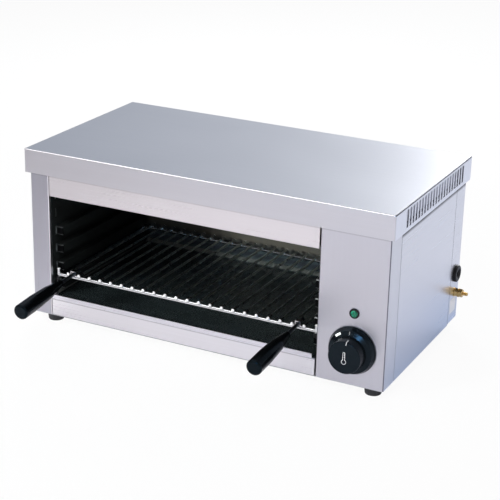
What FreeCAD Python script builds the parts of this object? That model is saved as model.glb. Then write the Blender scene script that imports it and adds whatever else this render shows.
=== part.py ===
import FreeCAD, Part
import os
import types

import Sketcher

# Open-front electric grill for melting cheese, in folded stainless steel.
# X runs to the right, Y to the back and Z up. The origin lies on the counter under the
# middle of the lid. The front, with its opening, shelf and control panel, faces -Y.

# Driving lengths, in millimetres
LENGTHS = {
    # Lid: a folded sheet with a skirt all round
    "lid_width": 600.0,
    "lid_depth": 314.0,
    "lid_skirt": 37.0,
    "lid_overhang": 6.0,
    "lid_bend_radius": 2.0,
    # Cabinet shell
    "sheet": 1.0,
    "bend_radius": 1.8,
    "fit_gap": 0.2,
    "seam_gap": 1.2,
    "body_height": 230.0,
    "shell_tuck": 4.0,
    "post_width": 32.0,
    "panel_width": 105.0,
    "side_return": 39.0,
    "post_inner_return": 6.0,
    "panel_inner_return": 10.0,
    "rear_return": 40.0,
    "rear_lift": 3.0,
    "lap_width": 7.0,
    "panel_flange": 12.0,
    # Front rails
    "rail_gap": 1.6,
    "rail_flange": 13.0,
    "lower_rail_lift": 1.2,
    "lower_rail_height": 27.6,
    "upper_rail_drop": 34.6,
    # Vent slots in the lid's side skirts
    "vent_start": 42.0,
    "vent_slot": 6.8,
    "vent_pitch": 11.4,
    "vent_margin_low": 5.8,
    "vent_margin_high": 4.8,
    "baffle_sheet": 0.8,
    "baffle_setback": 9.2,
    "baffle_margin": 5.0,
    "baffle_foot": 10.0,
    "baffle_lift": 5.5,
    # Vent slots of the control compartment, in the back and the base
    "back_slot": 4.0,
    "back_slot_pitch": 9.0,
    "back_slot_height": 40.0,
    "back_slot_drop": 32.0,
    # Cavity liner
    "liner_sheet": 0.8,
    # Pressed shelf runners in the side liners
    "runner_height": 14.2,
    "runner_depth": 12.0,
    "runner_pitch": 29.0,
    "runner_first": 41.2,
    "runner_front_setback": 17.5,
    "runner_back_setback": 14.0,
    "runner_corner": 1.5,
    # Crumb tray and its runners
    "tray_sheet": 0.8,
    "tray_side_gap": 4.5,
    "tray_height": 10.5,
    "tray_back_gap": 5.0,
    "tray_rail_gap": 1.2,
    "tray_runner_width": 14.0,
    "tray_runner_leg": 9.0,
    "lip_height": 7.8,
    "lip_sheet": 1.0,
    "lip_reach": 4.2,
    "lip_lean": 1.4,
    # Wire shelf
    "frame_radius": 3.0,
    "side_rail_radius": 3.5,
    "wire_radius": 2.0,
    "weld_sink": 0.4,
    "shelf_side_gap": 5.85,
    "shelf_bar_setback": 13.5,
    "shelf_back_gap": 10.0,
    "rear_bar_inset": 8.0,
    "stub_height": 9.0,
    # Shelf handles
    "handle_gap": 0.12,
    "shank_radius": 3.0,
    "shank_tail": 14.0,
    "shank_bite": 58.0,
    "grip_start": 38.0,
    "grip_length": 107.0,
    "grip_radius": 11.8,
    "grip_shoulder_radius": 10.0,
    "grip_neck_radius": 5.0,
    "grip_neck_length": 3.0,
    "grip_shoulder_at": 34.0,
    "grip_full_at": 70.0,
    "grip_blend": 30.0,
    "grip_end_round": 3.2,
    "saddle_sheet": 1.2,
    "saddle_width": 8.0,
    "saddle_wire_gap": 0.25,
    "saddle_side_gap": 0.24,
    "saddle_seat_gap": 0.03,
    "saddle_top_gap": 0.48,
    # Heating elements
    "element_radius": 4.0,
    "element_front_gap": 28.0,
    "element_back_gap": 17.2,
    "element_drop": 11.0,
    "element_left_gap": 28.0,
    "element_right_gap": 24.0,
    "element_cold_end": 25.0,
    "element_hole_gap": 0.5,
    "insulator_radius": 4.5,
    "insulator_length": 8.0,
    "stud_radius": 2.0,
    "stud_length": 12.0,
    "bracket_sheet": 1.5,
    "bracket_flange": 10.0,
    "bracket_below": 3.5,
    "bracket_end": 12.0,
    "bracket_left_gap": 92.0,
    "bracket_right_gap": 110.0,
    # Insulation
    "roof_insulation_height": 18.0,
    "rear_insulation_depth": 19.0,
    "right_insulation_width": 12.0,
    "insulation_gap": 1.0,
    # Control knob and thermostat
    "knob_rise": 55.0,
    "knob_inset": 49.5,
    "skirt_radius": 36.0,
    "skirt_gap": 2.0,
    "skirt_crease_radius": 32.6,
    "skirt_crease_rise": 8.0,
    "skirt_crease_round": 1.2,
    "skirt_rise": 10.5,
    "hub_base_radius": 25.8,
    "hub_radius": 24.4,
    "hub_rise": 28.5,
    "hub_round": 1.5,
    "knob_wall": 2.5,
    "knob_boss_radius": 6.5,
    "spindle_radius": 3.0,
    "spindle_gap": 0.06,
    "spindle_reach": 22.0,
    "spindle_root": 14.0,
    "bush_radius": 5.0,
    "bush_length": 5.0,
    "thermostat_width": 44.0,
    "thermostat_height": 48.0,
    "thermostat_depth": 36.0,
    "thermostat_round": 2.0,
    "tab_width": 6.3,
    "tab_sheet": 0.8,
    "tab_length": 9.0,
    "tab_spacing": 14.0,
    "fixing_spacing": 28.0,
    # Pilot lamp
    "lamp_rise": 56.0,
    "lamp_inset": 49.0,
    "bezel_radius": 7.5,
    "bezel_flange": 2.0,
    "barrel_radius": 6.0,
    "barrel_length": 24.0,
    "lens_radius": 5.2,
    "lens_rise": 1.6,
    "neon_radius": 3.0,
    "neon_length": 14.0,
    "lamp_nut_radius": 8.5,
    "lamp_nut_height": 3.0,
    # Cable bush and bonding terminal, in the rear return on the right
    "entry_inset": 18.0,
    "bush_height": 81.2,
    "bush_flange_radius": 13.5,
    "bush_flange": 5.0,
    "bush_flange_round": 2.5,
    "bush_thread_radius": 11.0,
    "bush_tail": 10.0,
    "cable_bore": 5.5,
    "cable_mouth_radius": 8.5,
    "locknut_hex": 27.0,
    "locknut_height": 4.0,
    "bonding_height": 49.8,
    "bonding_radius": 3.0,
    "bonding_tail": 9.0,
    "bonding_reach": 22.0,
    "bonding_hex": 12.0,
    "bonding_nut_height": 6.0,
    "washer_radius": 7.0,
    "washer_height": 1.0,
    # Terminal block on the base
    "block_length": 44.0,
    "block_depth": 20.0,
    "block_height": 18.0,
    "block_from_side": 14.0,
    "block_from_back": 60.0,
    "block_pole_pitch": 10.0,
    "block_hole_radius": 2.2,
    # Feet and small fasteners
    "foot_height": 16.0,
    "foot_top_radius": 13.5,
    "foot_base_radius": 12.0,
    "foot_straight": 3.0,
    "foot_round": 1.8,
    "foot_inset_x": 24.0,
    "foot_inset_y": 24.0,
    "foot_counterbore": 5.0,
    "foot_counterbore_depth": 7.0,
    "screw_radius": 2.0,
    "screw_head_radius": 3.6,
    "screw_head_height": 2.2,
    "screw_length": 9.0,
    "nut_hex": 7.0,
    "nut_height": 3.2,
    "hole_gap": 0.2,
    "lid_screw_drop": 19.0,
    "lid_screw_spacing": 220.0,
    "back_screw_rise": 4.5,
    "back_screw_inset": 54.0,
    "base_upturn": 12.0,
    # One overrun serves every cut, and one clearance every thread and turned fit
    "overrun": 2.0,
    "thread_gap": 0.05,
}

# How many of each repeated feature
COUNTS = {
    "vent_count": 21,
    "back_slot_count": 7,
    "runner_count": 4,
    "wire_count": 22,
    "element_count": 3,
    "element_runs": 4,
}

# Angles, in degrees
ANGLES = {
    "handle_droop": 4.5,
}

doc = FreeCAD.newDocument("cheese_melter")
sheet_of_sizes = doc.addObject("Spreadsheet::Sheet", "Sizes")


# A size keeps its number and the sheet formula behind it, so that sums of named sizes can be
# written as plain arithmetic and still drive the model through the sheet.
class Size:
    def __init__(self, formula, number):
        self.formula = formula
        self.number = number

    def __add__(self, other):
        other = as_size(other)
        return Size("(%s + %s)" % (self.formula, other.formula), self.number + other.number)

    def __sub__(self, other):
        other = as_size(other)
        return Size("(%s - %s)" % (self.formula, other.formula), self.number - other.number)

    def __mul__(self, other):
        other = as_size(other)
        return Size("(%s * %s)" % (self.formula, other.formula), self.number * other.number)

    def __truediv__(self, other):
        other = as_size(other)
        return Size("(%s / %s)" % (self.formula, other.formula), self.number / other.number)

    def __neg__(self):
        return Size("(-%s)" % self.formula, -self.number)

    __rmul__ = __mul__


def as_size(value):
    if isinstance(value, Size):
        return value
    return Size(repr(value), value)


s = types.SimpleNamespace()
for row, (alias, value) in enumerate({**LENGTHS, **COUNTS, **ANGLES}.items(), start=1):
    sheet_of_sizes.set("A%d" % row, alias)
    sheet_of_sizes.set("B%d" % row, str(value))
    sheet_of_sizes.setAlias("B%d" % row, alias)
    setattr(s, alias, Size("Sizes." + alias, value))
doc.recompute()

ZERO = as_size(0)
nodes = {}


# Planes that several pieces share
body_left = s.lid_overhang - s.lid_width / 2
body_right = s.lid_width / 2 - s.lid_overhang
body_front = s.lid_overhang - s.lid_depth / 2
body_back = s.lid_depth / 2 - s.sheet - s.fit_gap
body_bottom = s.foot_height
lid_bottom = body_bottom + s.body_height
lid_top = lid_bottom + s.lid_skirt
shell_top = lid_bottom + s.shell_tuck
carrier_top = lid_top - s.sheet - s.fit_gap
opening_left = body_left + s.post_width
opening_right = body_right - s.panel_width
opening_middle = (opening_left + opening_right) / 2
lower_rail_bottom = body_bottom + s.lower_rail_lift
lower_rail_top = lower_rail_bottom + s.lower_rail_height
upper_rail_bottom = lid_bottom - s.upper_rail_drop
base_top = body_bottom + s.sheet
cavity_top = lid_bottom - s.fit_gap - s.roof_insulation_height - s.liner_sheet
panel_inside = body_front + s.sheet
back_inside = body_back - s.sheet
cavity_back = back_inside - s.insulation_gap - s.rear_insulation_depth - s.liner_sheet
tray_floor = lower_rail_top + s.tray_rail_gap
tray_left = opening_left + s.tray_side_gap
tray_right = opening_right - s.tray_side_gap
shelf_seat = body_bottom + s.runner_first + s.runner_height
shelf_bar_y = body_front + s.shelf_bar_setback
side_rail_z = shelf_seat + s.side_rail_radius + s.fit_gap
shelf_bar_z = side_rail_z + s.side_rail_radius + s.frame_radius - s.weld_sink
shelf_wire_z = shelf_bar_z + s.frame_radius + s.wire_radius - s.weld_sink
shelf_left = opening_left + s.shelf_side_gap
shelf_right = opening_right - s.shelf_side_gap
shelf_back = cavity_back - s.shelf_back_gap
wire_pitch = (shelf_right - shelf_left) / (s.wire_count + 1)
handle_offset = wire_pitch * (s.wire_count - 2) / 2
element_z = cavity_top - s.element_drop
element_first = body_front + s.element_front_gap
element_last = cavity_back - s.element_back_gap
element_pitch = (element_last - element_first) / (s.element_count * s.element_runs - 1)
shield_left = opening_right + s.liner_sheet + s.right_insulation_width
shield_right = shield_left + s.liner_sheet
knob_x = body_right - s.knob_inset
knob_z = body_bottom + s.knob_rise
lamp_x = body_right - s.lamp_inset
lamp_z = knob_z + s.lamp_rise
entry_y = body_back - s.entry_inset
bush_z = body_bottom + s.bush_height
bonding_z = body_bottom + s.bonding_height

# Directions that an axis can point in, as rotations of the Z axis
UP = FreeCAD.Rotation()
DOWN = FreeCAD.Rotation(FreeCAD.Vector(1, 0, 0), 180)
RIGHT = FreeCAD.Rotation(FreeCAD.Vector(0, 1, 0), 90)
BACKWARD = FreeCAD.Rotation(FreeCAD.Vector(1, 0, 0), -90)
FORWARD = FreeCAD.Rotation(FreeCAD.Vector(1, 0, 0), 90)


# Helpers: each makes one document object whose sizes are bound to the sheet
def bind(thing, **formulas):
    for name, size in formulas.items():
        thing.setExpression(name, as_size(size).formula)


def place(thing, at, rotation=UP):
    thing.Placement = FreeCAD.Placement(FreeCAD.Vector(), rotation)
    for letter, size in zip("xyz", at):
        thing.setExpression("Placement.Base." + letter, as_size(size).formula)
    return thing


def keep(node, thing):
    thing.Label = node
    nodes[node] = thing
    return thing


def block(name, x_span, y_span, z_span):
    solid = doc.addObject("Part::Box", name)
    bind(solid, Length=x_span[1] - x_span[0], Width=y_span[1] - y_span[0], Height=z_span[1] - z_span[0])
    return place(solid, (x_span[0], y_span[0], z_span[0]))


def rod(name, radius, length, at, rotation=UP):
    solid = doc.addObject("Part::Cylinder", name)
    bind(solid, Radius=radius, Height=length)
    return place(solid, at, rotation)


def hexagon(name, across_flats, length, at, rotation=UP):
    solid = doc.addObject("Part::Prism", name)
    solid.Polygon = 6
    bind(solid, Height=length)
    solid.setExpression("Circumradius", "%s / sqrt(3)" % across_flats.formula)
    return place(solid, at, rotation)


def half_ring(name, ring_radius, tube_radius, at, turn):
    solid = doc.addObject("Part::Torus", name)
    solid.Angle3 = 180
    bind(solid, Radius1=ring_radius, Radius2=tube_radius)
    return place(solid, at, FreeCAD.Rotation(FreeCAD.Vector(0, 0, 1), turn))


def joined(name, solids):
    whole = doc.addObject("Part::MultiFuse", name)
    whole.Shapes = solids
    whole.Refine = True
    return whole


def group(name, solids):
    whole = doc.addObject("Part::Compound", name)
    whole.Links = solids
    return whole


def cut(name, solid, tools):
    result = doc.addObject("Part::Cut", name)
    result.Base = solid
    result.Tool = tools[0] if len(tools) == 1 else group(name + "_tools", tools)
    return result


def how_many(size):
    return int(round(size.number))


def middle(size, width):
    return (size - width / 2, size + width / 2)


def origin_plane(body, role):
    return next(feature for feature in body.Origin.OriginFeatures if feature.Role == role)


def sketch_on(body, name, role, offset=ZERO):
    sketch = body.newObject("Sketcher::SketchObject", name)
    sketch.AttachmentSupport = [(origin_plane(body, role), "")]
    sketch.MapMode = "FlatFace"
    sketch.setExpression(".AttachmentOffset.Base.z", offset.formula)
    return sketch


def tie_point(sketch, element, corner, u, v):
    for kind, axis, size in (("DistanceX", -2, u), ("DistanceY", -1, v)):
        if size.formula == ZERO.formula:
            sketch.addConstraint(Sketcher.Constraint("PointOnObject", element, corner, axis))
            continue
        number = sketch.addConstraint(Sketcher.Constraint(kind, -1, 1, element, corner, size.number))
        sketch.setExpression("Constraints[%d]" % number, size.formula)


def outline(sketch, corners):
    first = sketch.GeometryCount
    vectors = [FreeCAD.Vector(u.number, v.number, 0) for u, v in corners]
    ends = vectors[1:] + vectors[:1]
    for start, end in zip(vectors, ends):
        sketch.addGeometry(Part.LineSegment(start, end))
    for number, (u, v) in enumerate(corners):
        line = first + number
        following = first + (number + 1) % len(corners)
        sketch.addConstraint(Sketcher.Constraint("Coincident", line, 2, following, 1))
        tie_point(sketch, line, 1, u, v)


def rectangle(sketch, u_span, v_span):
    outline(sketch, [(u_span[0], v_span[0]), (u_span[1], v_span[0]), (u_span[1], v_span[1]), (u_span[0], v_span[1])])


def swept(body, kind, name, sketch, length, backwards=False, both_ways=False):
    feature = body.newObject(kind, name)
    feature.Profile = sketch
    feature.Reversed = backwards
    if both_ways:
        feature.Midplane = True
    feature.setExpression("Length", length.formula)
    return feature


def rounded(body, name, radius, wanted):
    doc.recompute()
    tip = body.Tip
    edges = []
    for number, edge in enumerate(tip.Shape.Edges, start=1):
        if wanted(edge):
            edges.append("Edge%d" % number)
    fillet = body.newObject("PartDesign::Fillet", name)
    fillet.Base = (tip, edges)
    fillet.setExpression("Radius", radius.formula)
    return fillet


def close_to(one, other):
    return abs(one - other) < s.thread_gap.number / 2


def lies_at_height(edge, height):
    return all(close_to(vertex.Z, height.number) for vertex in edge.Vertexes)


def turned(name, profile, at, rotation=UP, rounds=()):
    # A piece turned on a lathe: the profile holds (radius, height) corners about its own Z axis
    body = doc.addObject("PartDesign::Body", name)
    sketch = sketch_on(body, name + "_profile", "XZ_Plane")
    outline(sketch, profile)
    turn = body.newObject("PartDesign::Revolution", name + "_turn")
    turn.Profile = sketch
    turn.ReferenceAxis = (sketch, ["V_Axis"])
    for number, (radius, height, size) in enumerate(rounds):
        def wanted(edge, radius=radius, height=height):
            is_circle = isinstance(edge.Curve, Part.Circle)
            return is_circle and close_to(edge.Curve.Radius, radius.number) and lies_at_height(edge, height)
        rounded(body, "%s_round%d" % (name, number), size, wanted)
    return place(body, at, rotation)


def folded(name, role, section, start, length, bends=()):
    # A sheet folded along parallel lines: its section is padded, then each fold is rounded
    body = doc.addObject("PartDesign::Body", name)
    sketch = sketch_on(body, name + "_section", role, start)
    outline(sketch, section)
    swept(body, "PartDesign::Pad", name + "_length", sketch, length)
    u_axis, v_axis = {"XY_Plane": ("x", "y"), "YZ_Plane": ("y", "z")}[role]
    for number, (u, v, radius) in enumerate(bends):
        def wanted(edge, u=u, v=v):
            ends = [vertex.Point for vertex in edge.Vertexes]
            return all(close_to(getattr(end, u_axis), u.number) and close_to(getattr(end, v_axis), v.number)
                       for end in ends)
        rounded(body, "%s_bend%d" % (name, number), radius, wanted)
    return body


def pan_screw(name, at, rotation, length=s.screw_length):
    # The head stands above the place, the shank goes down from it
    shank = rod(name + "_shank", s.screw_radius, length + s.screw_head_height / 2, at, rotation)
    back = rotation.multVec(FreeCAD.Vector(0, 0, 1))
    shank_start = [as_size(size) - length * as_size(round(part)) for size, part in zip(at, back)]
    place(shank, shank_start, rotation)
    head = doc.addObject("Part::Cone", name + "_head")
    bind(head, Radius1=s.screw_head_radius, Radius2=s.screw_head_radius - s.screw_head_height / 2,
         Height=s.screw_head_height)
    place(head, at, rotation)
    return joined(name, [shank, head])


# The lid: a deep tray upside down, with a hem under its skirt and a row of vent slots each side
def build_lid():
    body = doc.addObject("PartDesign::Body", "lid_shell")
    half_width = s.lid_width / 2
    half_depth = s.lid_depth / 2
    blank = sketch_on(body, "lid_plan", "XY_Plane", lid_bottom)
    rectangle(blank, (-half_width, half_width), (-half_depth, half_depth))
    swept(body, "PartDesign::Pad", "lid_block", blank, s.lid_skirt)

    def outer_bend(edge):
        if lies_at_height(edge, lid_top):
            return True
        return close_to(edge.Vertexes[0].X, edge.Vertexes[1].X) and close_to(edge.Vertexes[0].Y, edge.Vertexes[1].Y)
    rounded(body, "lid_bends", s.lid_bend_radius, outer_bend)

    inside = sketch_on(body, "lid_inside_plan", "XY_Plane", lid_bottom + s.sheet)
    rectangle(inside, (s.sheet - half_width, half_width - s.sheet), (s.sheet - half_depth, half_depth - s.sheet))
    swept(body, "PartDesign::Pocket", "lid_inside", inside, s.lid_skirt - s.sheet * 2, backwards=True)

    mouth = sketch_on(body, "lid_mouth_plan", "XY_Plane", lid_bottom)
    rectangle(mouth, (body_left - s.fit_gap, body_right + s.fit_gap), (body_front - s.fit_gap, half_depth - s.sheet))
    swept(body, "PartDesign::Pocket", "lid_mouth", mouth, s.sheet + s.fit_gap, backwards=True)

    slot = sketch_on(body, "vent_plan", "YZ_Plane")
    start = s.vent_start - half_depth
    rectangle(slot, (start, start + s.vent_slot), (lid_bottom + s.vent_margin_low, lid_top - s.vent_margin_high))
    vent = swept(body, "PartDesign::Pocket", "vent_slot_pair", slot, s.lid_width + s.overrun, both_ways=True)
    row = body.newObject("PartDesign::LinearPattern", "vent_row")
    row.Originals = [vent]
    row.Direction = (slot, ["H_Axis"])
    row.setExpression("Length", (s.vent_pitch * (s.vent_count - 1)).formula)
    row.setExpression("Occurrences", s.vent_count.formula)
    body.Tip = row
    return body


def lid_screw_places():
    height = lid_top - s.lid_screw_drop
    return [(s.lid_screw_spacing * step, height) for step in (-1, 0, 1)]


def back_screw_places():
    height = base_top + s.back_screw_rise
    first = body_left + s.back_screw_inset
    last = body_right - s.back_screw_inset
    return [(first + (last - first) * step / 3, height) for step in (0, 1, 2, 3)]


def build_lid_and_its_screws():
    shell = build_lid()
    outside = s.lid_depth / 2
    holes = []
    screws = []
    for number, (x, z) in enumerate(lid_screw_places()):
        at = (x, outside - s.sheet - s.overrun / 2, z)
        holes.append(rod("lid_hole%d" % number, s.screw_radius + s.hole_gap, s.sheet + s.overrun, at, BACKWARD))
        screws.append(pan_screw("lid_screw%d" % number, (x, outside, z), BACKWARD))
    keep("top_cover", cut("top_cover", shell, holes))
    keep("lid_screws", group("lid_screws", screws))


# Angle strips hung from the lid behind the vent slots, so that steam gets out and splashes don't get in
def build_vent_baffles():
    front = s.vent_start - s.lid_depth / 2
    y_span = (front - s.baffle_margin, front + s.vent_pitch * (s.vent_count - 1) + s.vent_slot + s.baffle_margin)
    z_low = lid_bottom + s.baffle_lift
    strips = []
    for side, direction in (("left", -1), ("right", 1)):
        outer = (s.lid_width / 2 - s.sheet - s.baffle_setback) * direction
        wall = (outer - s.baffle_sheet * direction, outer)
        foot = (outer - s.baffle_foot * direction, outer)
        if direction < 0:
            wall, foot = wall[::-1], foot[::-1]
        strips.append(joined("baffle_" + side, [
            block("baffle_wall_" + side, wall, y_span, (z_low, carrier_top)),
            block("baffle_foot_" + side, foot, y_span, (carrier_top - s.baffle_sheet, carrier_top))]))
    keep("vent_baffles", group("vent_baffles", strips))


# The front uprights. Each is one sheet: a face, a return along the side and a short one inwards.
def upright(name, outer, inner, inner_return, direction):
    t = s.sheet * direction
    front = body_front
    return_back = front + s.side_return
    inner_back = front + inner_return
    section = [(outer, front), (inner, front), (inner, inner_back), (inner - t, inner_back),
               (inner - t, front + s.sheet), (outer + t, front + s.sheet), (outer + t, return_back),
               (outer, return_back)]
    bends = [(outer, front, s.bend_radius), (inner, front, s.bend_radius),
             (outer + t, front + s.sheet, s.bend_radius - s.sheet),
             (inner - t, front + s.sheet, s.bend_radius - s.sheet)]
    return folded(name, "XY_Plane", section, base_top + s.fit_gap, shell_top - base_top - s.fit_gap, bends), section


def build_uprights():
    post, section = upright("left_front_post", body_left, opening_left, s.post_inner_return, 1)
    keep("left_front_post", post)
    panel, section = upright("control_panel_sheet", body_right, opening_right, s.panel_inner_return, -1)
    deep = s.sheet + s.overrun
    start = body_front - s.overrun / 2
    holes = [rod("bush_hole", s.bush_radius + s.hole_gap, deep, (knob_x, start + deep, knob_z), FORWARD),
             rod("lamp_hole", s.barrel_radius + s.hole_gap, deep, (lamp_x, start + deep, lamp_z), FORWARD)]
    for side in (-1, 1):
        at = (knob_x + s.fixing_spacing / 2 * side, start + deep, knob_z)
        holes.append(rod("fixing_hole%d" % side, s.screw_radius + s.hole_gap, deep, at, FORWARD))
    keep("control_panel", cut("control_panel", panel, holes))


# The two front rails: channels that lie between the uprights
def build_rails():
    x_start = opening_left + s.rail_gap
    length = opening_right - opening_left - s.rail_gap * 2
    front = body_front
    back = front + s.rail_flange
    for name, low, high in (("upper_front_rail", upper_rail_bottom, carrier_top),
                            ("lower_front_rail", lower_rail_bottom, lower_rail_top)):
        section = [(front, low), (back, low), (back, low + s.sheet), (front + s.sheet, low + s.sheet),
                   (front + s.sheet, high - s.sheet), (back, high - s.sheet), (back, high), (front, high)]
        bends = [(front, low, s.bend_radius), (front, high, s.bend_radius),
                 (front + s.sheet, low + s.sheet, s.bend_radius - s.sheet),
                 (front + s.sheet, high - s.sheet, s.bend_radius - s.sheet)]
        keep(name, folded(name, "YZ_Plane", section, x_start, length, bends))


# The side panels: flush between the returns, lapped behind them, flanged inwards at the top
def build_side_panels():
    front = body_front + s.side_return + s.seam_gap
    back = body_back - s.rear_return - s.seam_gap
    for name, outer, direction in (("left_side_panel", body_left, 1), ("right_side_panel", body_right, -1)):
        t = s.sheet * direction
        section = [(outer, front), (outer, back), (outer + t, back), (outer + t, back + s.lap_width),
                   (outer + t * 2, back + s.lap_width), (outer + t * 2, back - s.sheet), (outer + t, back - s.sheet),
                   (outer + t, front + s.sheet), (outer + t * 2, front + s.sheet),
                   (outer + t * 2, front - s.lap_width), (outer + t, front - s.lap_width), (outer + t, front)]
        skin = folded(name + "_skin", "XY_Plane", section, base_top + s.fit_gap, shell_top - base_top - s.fit_gap)
        span = (outer + t, outer + t * 2 + s.panel_flange * direction)
        if direction < 0:
            span = (span[1], span[0])
        flange = block(name + "_flange", span, (front + s.sheet, back - s.sheet), (shell_top - s.sheet, shell_top))
        keep(name, joined(name, [skin, flange]))


# The back panel wraps round both rear corners and carries the lid on its top flange
def build_back_panel():
    t = s.sheet
    front = body_back - s.rear_return
    section = [(body_left, body_back), (body_left, front), (body_left + t, front), (body_left + t, back_inside),
               (body_right - t, back_inside), (body_right - t, front), (body_right, front), (body_right, body_back)]
    bends = [(body_left, body_back, s.bend_radius), (body_right, body_back, s.bend_radius),
             (body_left + t, back_inside, s.bend_radius - t), (body_right - t, back_inside, s.bend_radius - t)]
    bottom = body_bottom + s.rear_lift
    wrap = folded("back_wrap", "XY_Plane", section, bottom, carrier_top - bottom, bends)
    flange = block("back_flange", (body_left + s.bend_radius, body_right - s.bend_radius),
                   (back_inside - s.panel_flange, back_inside), (carrier_top - t, carrier_top))
    whole = joined("back_panel_sheet", [wrap, flange])
    deep = s.sheet + s.overrun
    holes = []
    for number, (x, z) in enumerate(lid_screw_places() + back_screw_places()):
        at = (x, back_inside - s.overrun / 2, z)
        holes.append(rod("back_hole%d" % number, s.screw_radius + s.hole_gap, deep, at, BACKWARD))
    side = body_right - s.sheet - s.overrun / 2
    holes.append(rod("bush_hole_back", s.bush_thread_radius + s.hole_gap, deep, (side, entry_y, bush_z), RIGHT))
    holes.append(rod("bonding_hole", s.bonding_radius + s.hole_gap, deep, (side, entry_y, bonding_z), RIGHT))
    slot_top = lid_bottom - s.back_slot_drop
    x_first = body_right - s.panel_width / 2 - s.back_slot_pitch * (s.back_slot_count - 1) / 2
    for number in range(how_many(s.back_slot_count)):
        span = middle(x_first + s.back_slot_pitch * number, s.back_slot)
        holes.append(block("back_slot%d" % number, span, (back_inside - s.overrun / 2, body_back + s.overrun / 2),
                           (slot_top - s.back_slot_height, slot_top)))
    keep("back_panel", cut("back_panel", whole, holes))
    screws = [pan_screw("back_screw%d" % number, (x, body_back, z), BACKWARD)
              for number, (x, z) in enumerate(back_screw_places())]
    keep("back_panel_screws", group("back_panel_screws", screws))


def foot_places():
    x_places = (body_left + s.foot_inset_x, body_right - s.foot_inset_x)
    y_places = (body_front + s.foot_inset_y, body_back - s.foot_inset_y)
    return {"front_left": (x_places[0], y_places[0]), "front_right": (x_places[1], y_places[0]),
            "rear_left": (x_places[0], y_places[1]), "rear_right": (x_places[1], y_places[1])}


# The base: a flat sheet with an upturned edge at each side and at the back
def build_base():
    left = body_left + s.sheet + s.sheet + s.fit_gap
    right = body_right - s.sheet - s.sheet - s.fit_gap
    front = panel_inside + s.fit_gap
    back = back_inside
    low, high = body_bottom, base_top
    edge_front = front + s.rail_flange + s.sheet
    floor = block("base_floor", (left, right), (front, back), (low, high))
    upturns = [block("base_left_edge", (left, left + s.sheet), (edge_front, back), (low, high + s.base_upturn)),
               block("base_right_edge", (right - s.sheet, right), (edge_front, back), (low, high + s.base_upturn)),
               block("base_back_edge", (left, right), (back - s.sheet, back), (low, high + s.base_upturn))]
    whole = joined("base_sheet", [floor] + upturns)
    holes = []
    for corner, (x, y) in foot_places().items():
        at = (x, y, low - s.overrun / 2)
        holes.append(rod("foot_hole_" + corner, s.screw_radius + s.hole_gap, s.sheet + s.overrun, at))
    for number, (x, z) in enumerate(back_screw_places()):
        at = (x, back - s.sheet - s.overrun / 2, z)
        holes.append(rod("edge_hole%d" % number, s.screw_radius + s.hole_gap, s.sheet + s.overrun / 2, at, BACKWARD))
    x_first = body_right - s.panel_width / 2 - s.back_slot_pitch * (s.back_slot_count - 1) / 2
    for number in range(how_many(s.back_slot_count)):
        span = middle(x_first + s.back_slot_pitch * number, s.back_slot)
        holes.append(block("base_slot%d" % number, span, middle(ZERO, s.back_slot_height),
                           (low - s.overrun / 2, high + s.overrun / 2)))
    keep("base_panel", cut("base_panel", whole, holes))


# The side liners: flat sheets with four runners pressed into the cavity, hollow from behind
def build_side_liner(name, face, direction, front, holes):
    body = doc.addObject("PartDesign::Body", name + "_sheet")
    outwards = direction > 0
    back = cavity_back
    blank = sketch_on(body, name + "_blank", "YZ_Plane", face)
    rectangle(blank, (front, back), (base_top, cavity_top))
    swept(body, "PartDesign::Pad", name + "_flat", blank, s.liner_sheet, backwards=outwards)

    def runner_outline(sketch, wall):
        u0 = body_front + s.runner_front_setback + wall
        u1 = back - s.runner_back_setback - wall
        v0 = body_bottom + s.runner_first + wall
        v1 = body_bottom + s.runner_first + s.runner_height - wall
        c = s.runner_corner
        outline(sketch, [(u0 + c, v0), (u1 - c, v0), (u1, v0 + c), (u1, v1 - c),
                         (u1 - c, v1), (u0 + c, v1), (u0, v1 - c), (u0, v0 + c)])
    ridge_plan = sketch_on(body, name + "_ridge_plan", "YZ_Plane", face)
    runner_outline(ridge_plan, ZERO)
    ridge = swept(body, "PartDesign::Pad", name + "_ridge", ridge_plan, s.runner_depth, backwards=not outwards)
    hollow_plan = sketch_on(body, name + "_hollow_plan", "YZ_Plane", face - s.liner_sheet * direction)
    runner_outline(hollow_plan, s.liner_sheet)
    hollow = swept(body, "PartDesign::Pocket", name + "_hollow", hollow_plan, s.runner_depth, backwards=outwards)
    row = body.newObject("PartDesign::LinearPattern", name + "_runners")
    row.Originals = [ridge, hollow]
    row.Direction = (ridge_plan, ["V_Axis"])
    row.setExpression("Length", (s.runner_pitch * (s.runner_count - 1)).formula)
    row.setExpression("Occurrences", s.runner_count.formula)
    body.Tip = row
    if holes:
        return keep(name, cut(name, body, holes))
    return keep(name, body)


def element_rows():
    return [element_first + element_pitch * number for number in range(how_many(s.element_count * s.element_runs))]


def cold_end_rows():
    # The first and the last run of each element
    runs = how_many(s.element_runs)
    return [y for number, y in enumerate(element_rows()) if number % runs in (0, runs - 1)]


def cold_end_holes(name, x, width, radius):
    start = x - s.overrun / 2
    return [rod("%s%d" % (name, number), radius, width + s.overrun, (start, y, element_z), RIGHT)
            for number, y in enumerate(cold_end_rows())]


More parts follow.
